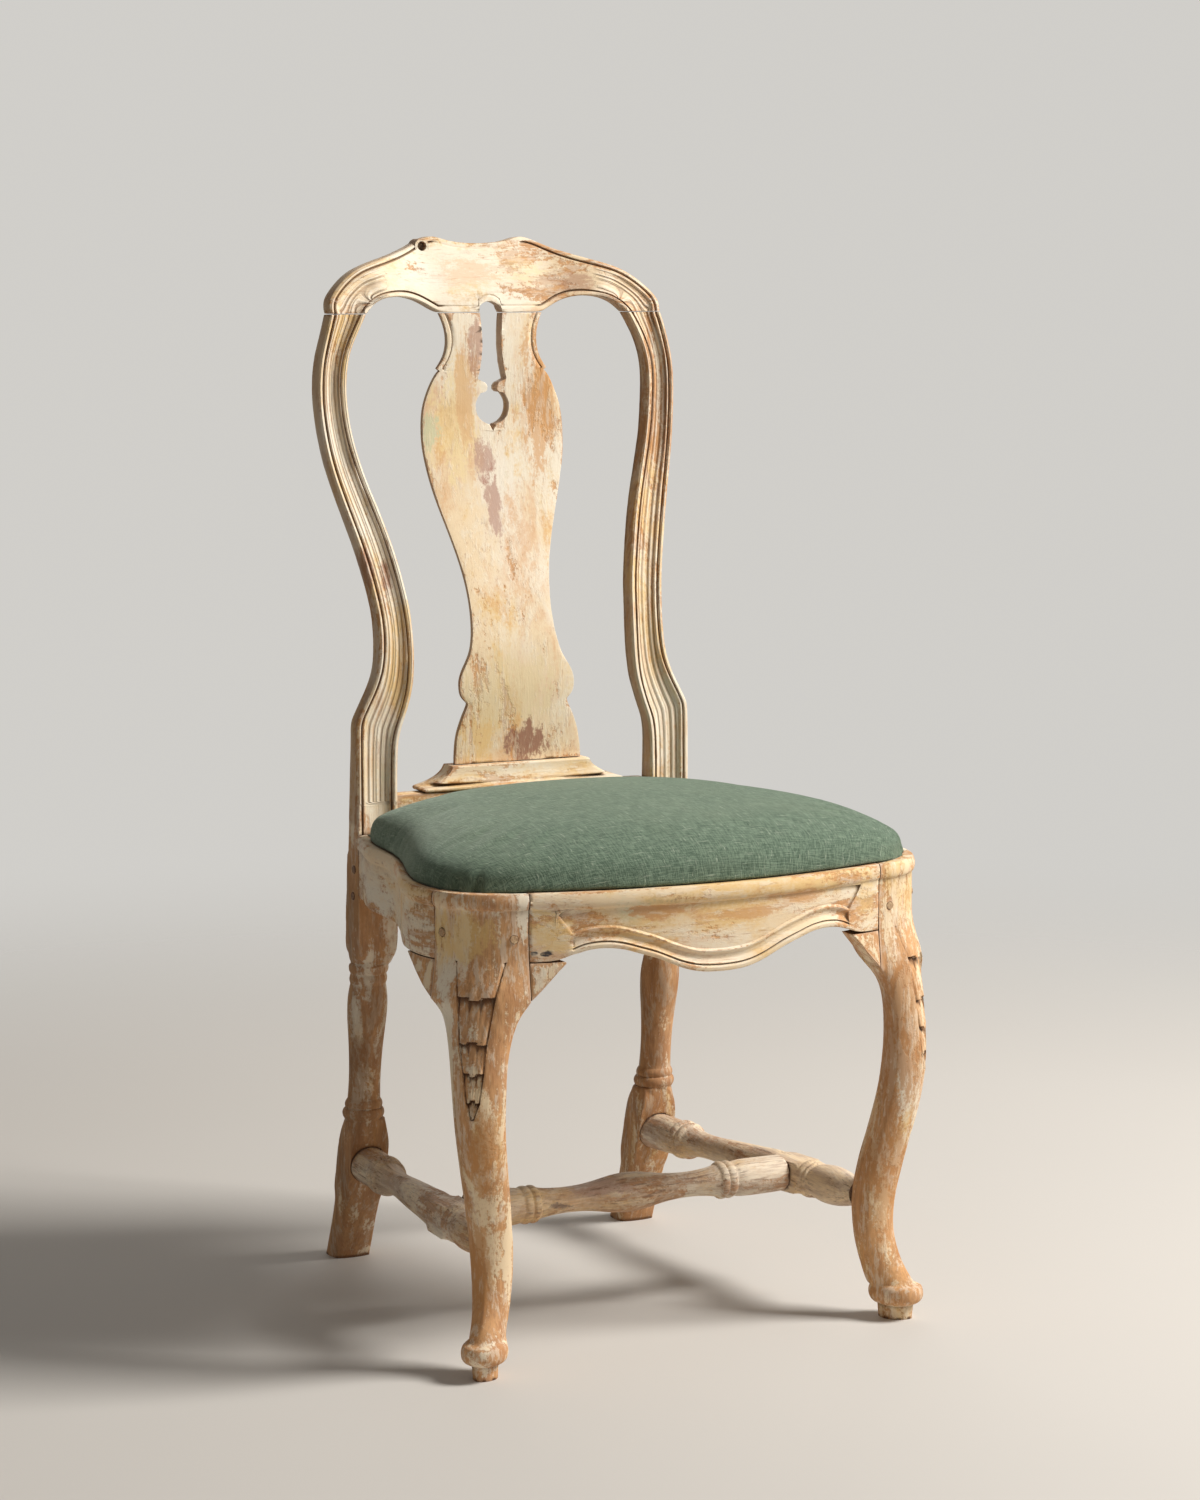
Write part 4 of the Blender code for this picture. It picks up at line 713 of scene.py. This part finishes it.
def sawn():
    sh = Shader("sawn_pine")
    grain = sh.cloud(sh.place((0.10, 1, 1)), 260.0, 4.0, 0.6)
    blotch = sh.cloud(sh.place(), 14.0, 4.0, 0.6)
    colour = sh.mix(grain.step(0.3, 0.75), (0.55, 0.36, 0.19), (0.36, 0.20, 0.09))
    colour = sh.mix(blotch.step(0.5, 0.75) * 0.5, colour, (0.22, 0.13, 0.07))
    sh.set(Base_Color=colour, Roughness=0.8)
    sh.set(Normal=sh.node("ShaderNodeBump", {}, {"Strength": 0.5, "Distance": 0.0006, "Height": grain}))
    return sh.material


def jute():
    sh = Shader("jute_webbing")
    warp, weft = (sh.node("ShaderNodeTexWave", {"bands_direction": way}, {
        "Vector": sh.place(), "Scale": 130.0, "Distortion": 0.6, "Detail": 1.0}) for way in "XY")
    weave = warp.most(weft)
    dust = sh.cloud(sh.place(), 60.0, 4.0, 0.6)
    colour = sh.mix(weave.step(0.2, 0.9), (0.20, 0.135, 0.07), (0.50, 0.385, 0.235))
    colour = sh.mix(dust.step(0.45, 0.75) * 0.4, colour, (0.30, 0.22, 0.13))
    sh.set(Base_Color=colour, Roughness=0.92)
    sh.set(Normal=sh.node("ShaderNodeBump", {}, {"Strength": 0.8, "Distance": 0.0008, "Height": weave}))
    return sh.material


dark_peg = end_grain("peg_end_grain", (0.10, 0.05, 0.025), (0.30, 0.17, 0.09))
rubbed_peg = end_grain("peg_under_paint", (0.36, 0.20, 0.10), (0.66, 0.47, 0.27))
plain = {"peg_wood": dark_peg, "seat_frame_wood": sawn(), "webbing_jute": jute()}
for name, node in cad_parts.items():
    own = node.material_slots[0].material.name.split(".")[0]
    if own in plain:
        node.material_slots[0].material = rubbed_peg if name.startswith("leg_peg") else plain[own]
print("plain coats:", sorted(plain))

# %% [markdown]
# ## The stuffed seat
#
# The seat is a pad of stuffing on its frame, with linen drawn over it and down inside the
# rim. It is tight, so its top takes the form of a skin blown up over its own outline. The
# height of such a skin is found on a grid: each cell is the mean of its neighbours plus a
# little. The pad is built as rings round that form: down inside the rim, out over it, and up.


# %% Find the pad's outline and the height of its skin
RIM_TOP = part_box("front_rail")[1].z
PAD_MIDDLE = np.array([0.0, -0.055])
AROUND = 720  # points round the pad
WIDEST = 0.0068  # the solid is widest this far above the rim
pad_low, pad_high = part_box("seat_cushion")


def reach(points):
    """How far the points reach from the middle in each direction round it."""
    away = points[:, :2] - PAD_MIDDLE
    far, turn = np.hypot(*away.T), np.arctan2(away[:, 1], away[:, 0])
    order = np.argsort(turn)
    around = np.linspace(-np.pi, np.pi, AROUND, endpoint=False)
    return np.interp(around, turn[order], far[order], period=2 * np.pi)


solid_points = points_of(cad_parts["seat_cushion"])
well = reach(solid_points[np.abs(solid_points[:, 2] - RIM_TOP) < 0.0006])
swell = reach(solid_points[np.abs(solid_points[:, 2] - RIM_TOP - WIDEST) < 0.0008])


def share_of(x, y, edge):
    """Where a point lies between the middle, 0, and an edge, 1."""
    turn = (np.arctan2(y - PAD_MIDDLE[1], x - PAD_MIDDLE[0]) + np.pi) / (2 * np.pi) * AROUND
    far = np.interp(turn, np.arange(AROUND + 1), np.append(edge, edge[0]))
    return np.hypot(x - PAD_MIDDLE[0], y - PAD_MIDDLE[1]) / far


def skin_on_grid(edge, cell=0.006):
    x, y = np.meshgrid(np.arange(-0.28, 0.28, cell), np.arange(-0.30, 0.22, cell), indexing="ij")
    share = share_of(x, y, edge)
    inside = share < 1
    height = np.zeros_like(x)
    for _ in range(3000):
        beside = height[:-2, 1:-1] + height[2:, 1:-1] + height[1:-1, :-2] + height[1:-1, 2:]
        height[1:-1, 1:-1] = beside / 4 + 1
        height[~inside] = 0
    ratio = height / height.max() / np.maximum(1 - share ** 2, 0.05)
    return x[:, 0], y[0], ratio


grid_x, grid_y, grid_ratio = skin_on_grid(swell)
print("rim at", round(RIM_TOP, 4))
print("seat reaches", round(swell.min().item(), 3), "to", round(swell.max().item(), 3))


def skin(x, y, share):
    """The skin's height, 0 at the edge and about 1 at most, read inside the edge where the grid is sound."""
    keep = np.minimum(share, 0.90) / np.maximum(share, 1e-6)
    at_x = (PAD_MIDDLE[0] + (x - PAD_MIDDLE[0]) * keep - grid_x[0]) / (grid_x[1] - grid_x[0])
    at_y = (PAD_MIDDLE[1] + (y - PAD_MIDDLE[1]) * keep - grid_y[0]) / (grid_y[1] - grid_y[0])
    i, j = at_x.astype(int), at_y.astype(int)
    u, v = at_x - i, at_y - j
    ratio = (grid_ratio[i, j] * (1 - u) * (1 - v) + grid_ratio[i + 1, j] * u * (1 - v)
             + grid_ratio[i, j + 1] * (1 - u) * v + grid_ratio[i + 1, j + 1] * u * v)
    return np.clip((1 - share ** 2) * ratio, 0, None)


# %% Build the pad in rings
SIDE_TALL = 0.0090  # the pad's side stands this far above the rim before it turns over
CROWN_TALL = pad_high.z - RIM_TOP + 0.0055  # stuffed fuller than the solid
FULL = 0.40  # a smaller power makes the pad's shoulders fuller
BULGE = 1.05  # the side stands out this many times as far past the well as the solid's


def ringed_pad():
    turn = np.linspace(-np.pi, np.pi, AROUND, endpoint=False)
    way = np.stack([np.cos(turn), np.sin(turn)], 1)
    rows = []

    def ring(far, z):
        rows.append(np.column_stack([PAD_MIDDLE + way * far[:, None], np.broadcast_to(z, AROUND)]))

    low = pad_low.z + 0.0004
    for share in (0.02, 0.3, 0.6, 0.85, 0.97):
        ring(well * share, low)
    for z in np.linspace(low + 0.001, RIM_TOP - 0.0006, 5):
        ring(well - 0.0006, z)
    for out, rise in ((0.0, 0.0007), (0.5, 0.0008), (0.85, 0.0014), (1.0, 0.0035),
                      (BULGE, 0.0065), (BULGE, SIDE_TALL)):
        ring(well + (swell - well) * out, RIM_TOP + rise)
    edge = well + (swell - well) * BULGE
    for lean in np.linspace(math.pi / 2, 0.015, 46)[1:]:
        share = math.sin(lean)
        x, y = (PAD_MIDDLE + way * (edge * share)[:, None]).T
        rise = skin(x, y, np.full(AROUND, share)) ** FULL
        ring(edge * share, RIM_TOP + SIDE_TALL + (CROWN_TALL - SIDE_TALL) * rise)
    mesh = bmesh.new()
    rings = [[mesh.verts.new(point) for point in row] for row in rows]
    for lower, upper in zip(rings, rings[1:]):
        for i in range(AROUND):
            after = (i + 1) % AROUND
            mesh.faces.new((lower[i], lower[after], upper[after], upper[i]))
    mesh.faces.new(rings[0][::-1])
    mesh.faces.new(rings[-1])
    data = bpy.data.meshes.new("linen_seat")
    mesh.to_mesh(data)
    mesh.free()
    pad = bpy.data.objects.new("linen_seat", data)
    bpy.context.scene.collection.objects.link(pad)
    return pad


pad = ringed_pad()
print("pad points:", len(pad.data.vertices), "top:", round(float(points_of(pad)[:, 2].max()), 4))

# %% [markdown]
# ## Air under the linen
#
# Stuffing pushes unevenly at its cover. A copy of the pad with even cells is simulated as
# cloth with some air in it while its lower edge is held, and how far the cloth moved is
# carried over to the pad's own points.


# %% Blow the cover up a little
PUFF = 0.0025  # no point of the pad moves further than this


def puffed(pad):
    even = bpy.data.objects.new("even_pad", pad.data.copy())
    bpy.context.scene.collection.objects.link(even)
    remesh = even.modifiers.new("even", "REMESH")
    remesh.mode, remesh.voxel_size = "VOXEL", 0.0055
    even.data = bpy.data.meshes.new_from_object(even.evaluated_get(bpy.context.evaluated_depsgraph_get()))
    even.modifiers.clear()
    start = points_of(even)
    held = even.vertex_groups.new(name="held")
    held.add([i for i, p in enumerate(start) if p[2] < RIM_TOP + 0.004], 1.0, "REPLACE")
    cloth = even.modifiers.new("cloth", "CLOTH")
    cloth.settings.vertex_group_mass = "held"
    cloth.settings.use_pressure = True
    cloth.settings.uniform_pressure_force = 4.0
    cloth.settings.effector_weights.gravity = 0.0
    cloth.collision_settings.use_collision = False
    for step in range(1, 21):
        bpy.context.scene.frame_set(step)
    blown = bpy.data.meshes.new_from_object(even.evaluated_get(bpy.context.evaluated_depsgraph_get()))
    end = np.empty(len(blown.vertices) * 3)
    blown.vertices.foreach_get("co", end)
    bpy.data.objects.remove(even)
    bpy.context.scene.frame_set(1)
    move = end.reshape(-1, 3) - start
    far = np.linalg.norm(move, axis=1)
    move *= (PUFF * np.tanh(far / PUFF) / np.maximum(far, 1e-9))[:, None]
    tree = KDTree(len(start))
    for i, point in enumerate(start):
        tree.insert(point, i)
    tree.balance()
    co = points_of(pad)
    for i, point in enumerate(co):
        near = tree.find_n(point, 6)
        weight = np.array([1 / (distance + 1e-4) for _, _, distance in near])
        co[i] += (move[[k for _, k, _ in near]] * weight[:, None]).sum(0) / weight.sum()
    move_points(pad, co)
    kept = np.linalg.norm(move, axis=1).max()
    print("cloth moved up to", round(float(far.max()) * 1000, 1), "mm, kept", round(float(kept) * 1000, 1))


puffed(pad)

# %% [markdown]
# ## Pleats and the lie of the linen
#
# Where the linen turns a corner there is too much of it, and the upholsterer folds it under
# in small darts. Each is a narrow groove that dies out upwards. The threads run straight
# across and straight back. To let them turn down over the side as cloth does, each point
# stores where it lay on the cloth before it was pulled over.


# %% Draw the pleats in
PLEATS = [  # across, back, how deep, half as wide, how tall
    (-0.208, -0.204, 0.0026, 0.0035, 0.030), (-0.223, -0.192, 0.0016, 0.004, 0.022),
    (0.2240, -0.1900, 0.0042, 0.0042, 0.042), (0.2100, -0.2040, 0.0014, 0.004, 0.024)]
PLEATS_MEET = np.array([0.0, -0.05])  # the pleats point at this place


def pleat(pad):
    co, no = points_of(pad), normals_of(pad)
    for x, y, deep, half, tall in PLEATS:
        way = np.array([x, y]) - PLEATS_MEET
        way /= np.linalg.norm(way)
        away = co[:, :2] - PLEATS_MEET
        beside = away[:, 1] * way[0] - away[:, 0] * way[1]
        ahead = away @ way > 0
        up = (co[:, 2] - RIM_TOP) / tall
        fade = np.clip(1 - up, 0, 1) ** 1.3
        lip = np.exp(-(((beside - 2.0 * half) / (1.4 * half)) ** 2))
        groove = np.exp(-((beside / half) ** 2)) - 0.45 * lip
        co -= no * (deep * groove * fade * ahead)[:, None]
    above = np.clip((co[:, 2] - RIM_TOP) / 0.02, 0, 1)
    turn = np.arctan2(co[:, 1] - PAD_MIDDLE[1], co[:, 0] - PAD_MIDDLE[0])
    around = np.stack([np.cos(turn) * 5.5, np.sin(turn) * 5.5, turn * 0], 1)
    low = np.clip(1 - (co[:, 2] - RIM_TOP) / 0.034, 0, 1)
    pucker = wave(around, 1.0, 21) * wave(around, 0.45, 23) * low
    co += no * ((wave(co, 9.0, 3) * 0.0010 + pucker * 0.0040) * above)[:, None]
    move_points(pad, co)


def lay_of_cloth(pad):
    """Across and back on the flat cloth, in metres; over the side the cloth goes on outwards."""
    co, no = points_of(pad), normals_of(pad)
    drop = np.clip(RIM_TOP + CROWN_TALL - co[:, 2], 0, None) * 0.95
    store(pad, "lie_x", co[:, 0] + no[:, 0] * drop)
    store(pad, "lie_y", co[:, 1] + no[:, 1] * drop)


pleat(pad)
lay_of_cloth(pad)
finish_shading(pad, 60)
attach(pad, "root")
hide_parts("seat_cushion")

# %% [markdown]
# ## Slubby linen
#
# The cover is a plain weave of uneven yarn, sage green. Thick places in the yarn, called
# slubs, catch the light as short pale dashes along the warp and the weft. Two sets of fine
# bands make the weave, and stretched noise makes the slubs.


# %% Weave the linen
def linen():
    sh = Shader("sage_linen")
    where = sh.node("ShaderNodeCombineXYZ", {}, {0: sh.stored("lie_x"), 1: sh.stored("lie_y"), 2: 0.0})

    def stretched(x, y, seed):
        return sh.node("ShaderNodeMapping", {}, {
            "Vector": where, "Scale": (x, y, 1.0), "Location": (seed, seed, seed)})

    weave = sum(sh.node("ShaderNodeTexWave", {"bands_direction": way}, {
        "Vector": where, "Scale": scale, "Distortion": 1.2, "Detail": 2.0, "Detail Scale": 0.6})
        for way, scale in (("X", 270.0), ("Y", 250.0))) * 0.5
    thread_y = sh.cloud(stretched(1.0, 0.10, 1.0), 560.0, 2.0, 0.7)
    thread_x = sh.cloud(stretched(0.10, 1.0, 4.0), 560.0, 2.0, 0.7)
    slub_y = sh.cloud(stretched(1.0, 0.10, 8.0), 420.0, 2.0, 0.6).step(0.63, 0.70)
    slub_x = sh.cloud(stretched(0.10, 1.0, 9.0), 420.0, 2.0, 0.6).step(0.63, 0.70)
    yarn = (thread_y.step(0.42, 0.60) + thread_x.step(0.42, 0.60)) * 0.5
    colour = sh.mix(yarn, (0.045, 0.078, 0.050), (0.175, 0.240, 0.165))
    colour = sh.mix(weave.step(0.2, 0.9) * 0.30, colour, (0.22, 0.29, 0.205))
    colour = sh.mix((slub_y + slub_x).clamp() * 0.50, colour, (0.42, 0.47, 0.36))
    fade = sh.cloud(sh.place(), 7.0, 3.0, 0.5)
    colour = sh.mix(fade.step(0.45, 0.7) * 0.25, colour, (0.19, 0.235, 0.155))
    sh.set(Base_Color=colour, Roughness=0.88)
    height = weave * 0.6 + yarn * 0.7 + (slub_x + slub_y) * 0.4
    sh.set(Normal=sh.node("ShaderNodeBump", {}, {"Strength": 0.55, "Distance": 0.0005, "Height": height}))
    sh.surface.inputs["Sheen Weight"].default_value = 0.35
    sh.surface.inputs["Sheen Roughness"].default_value = 0.45
    sh.surface.inputs["Sheen Tint"].default_value = (0.80, 0.92, 0.78, 1.0)
    sh.surface.inputs["Specular IOR Level"].default_value = 0.25
    return sh.material


pad.data.materials.clear()
pad.data.materials.append(linen())
print("linen on", pad.name)

# %% [markdown]
# ## Floor, light and camera
#
# A plain pale floor lies under the chair and fades out into a plain pale background, so the
# chair can be looked at from every side. One large soft lamp stands high in front and to the
# right, and weak ones fill from the left and from behind. The camera and
# mirrored rays see the background's pale tone, but the light that comes from it is dim and
# warm. The camera has the place and the long lens that were worked out from the chair's lines.


# %% Pale floor
def pale_floor():
    mesh = bmesh.new()
    bmesh.ops.create_circle(mesh, cap_ends=True, radius=3.2, segments=96)
    data = bpy.data.meshes.new("studio_floor")
    mesh.to_mesh(data)
    mesh.free()
    floor = bpy.data.objects.new("studio_floor", data)
    bpy.context.scene.collection.objects.link(floor)
    sh = Shader("pale_floor")
    far = sh.node("ShaderNodeVectorMath", {"operation": "LENGTH"}, {0: sh.place()}, out=1)
    tone = sh.cloud(sh.place(), 1.2, 2.0, 0.5)
    sh.set(Base_Color=sh.mix(tone, (0.60, 0.565, 0.52), (0.63, 0.595, 0.55)), Roughness=0.9)
    sh.set(Alpha=1 - far.step(0.9, 2.9))
    data.materials.append(sh.material)


pale_floor()


# %% Soft lamps
def lamp(name, place, size, power, aim=(0.0, 0.0, 0.5), colour=(1.0, 1.0, 1.0)):
    data = bpy.data.lights.new(name, "AREA")
    data.shape, data.size, data.energy, data.color = "SQUARE", size, power, colour
    obj = bpy.data.objects.new(name, data)
    obj.location = place
    obj.rotation_euler = (Vector(aim) - Vector(place)).to_track_quat("-Z", "Y").to_euler()
    bpy.context.scene.collection.objects.link(obj)


lamp("window_lamp", (2.7, -1.7, 3.2), 1.4, 252.0, colour=(1.0, 0.985, 0.96))
lamp("fill_lamp", (-3.2, -2.6, 1.6), 2.5, 4.0)
lamp("rear_lamp", (1.6, 3.4, 2.4), 2.5, 26.0)


def room_light():
    world = bpy.data.worlds.new("room_light")
    sh = Shader("room_light", world)
    camera, glossy, clear = (sh.node("ShaderNodeLightPath", {}, {}, out=f"Is {ray} Ray")
                             for ray in ("Camera", "Glossy", "Transmission"))
    dim = sh.node("ShaderNodeBackground", {}, {0: (1.0, 0.95, 0.89), 1: 0.15})
    pale = sh.node("ShaderNodeBackground", {}, {0: (0.635, 0.62, 0.59), 1: 1.0})
    both = sh.node("ShaderNodeMixShader", {}, {0: camera.most(glossy).most(clear), 1: dim, 2: pale})
    sh.feed(sh.tree.nodes["World Output"].inputs[0], both)
    bpy.context.scene.world = world


room_light()

# %% Camera, where the chair's lines put it
camera_data = bpy.data.cameras.new("camera")
camera_data.sensor_fit = "AUTO"
camera_data.sensor_width = 36.0
camera_data.lens = 89.565
camera = bpy.data.objects.new("camera", camera_data)
right = (0.895023, -0.446013, -0.002423)
up = (0.060212, 0.115444, 0.991487)
backward = (-0.441936, -0.88755, 0.13018)
turned = Matrix((right, up, backward)).transposed().to_4x4()
camera.matrix_world = Matrix.Translation((-1.647, -3.326, 1.044)) @ turned
bpy.context.scene.collection.objects.link(camera)
bpy.context.scene.camera = camera
bpy.context.scene.view_settings.view_transform = "Standard"
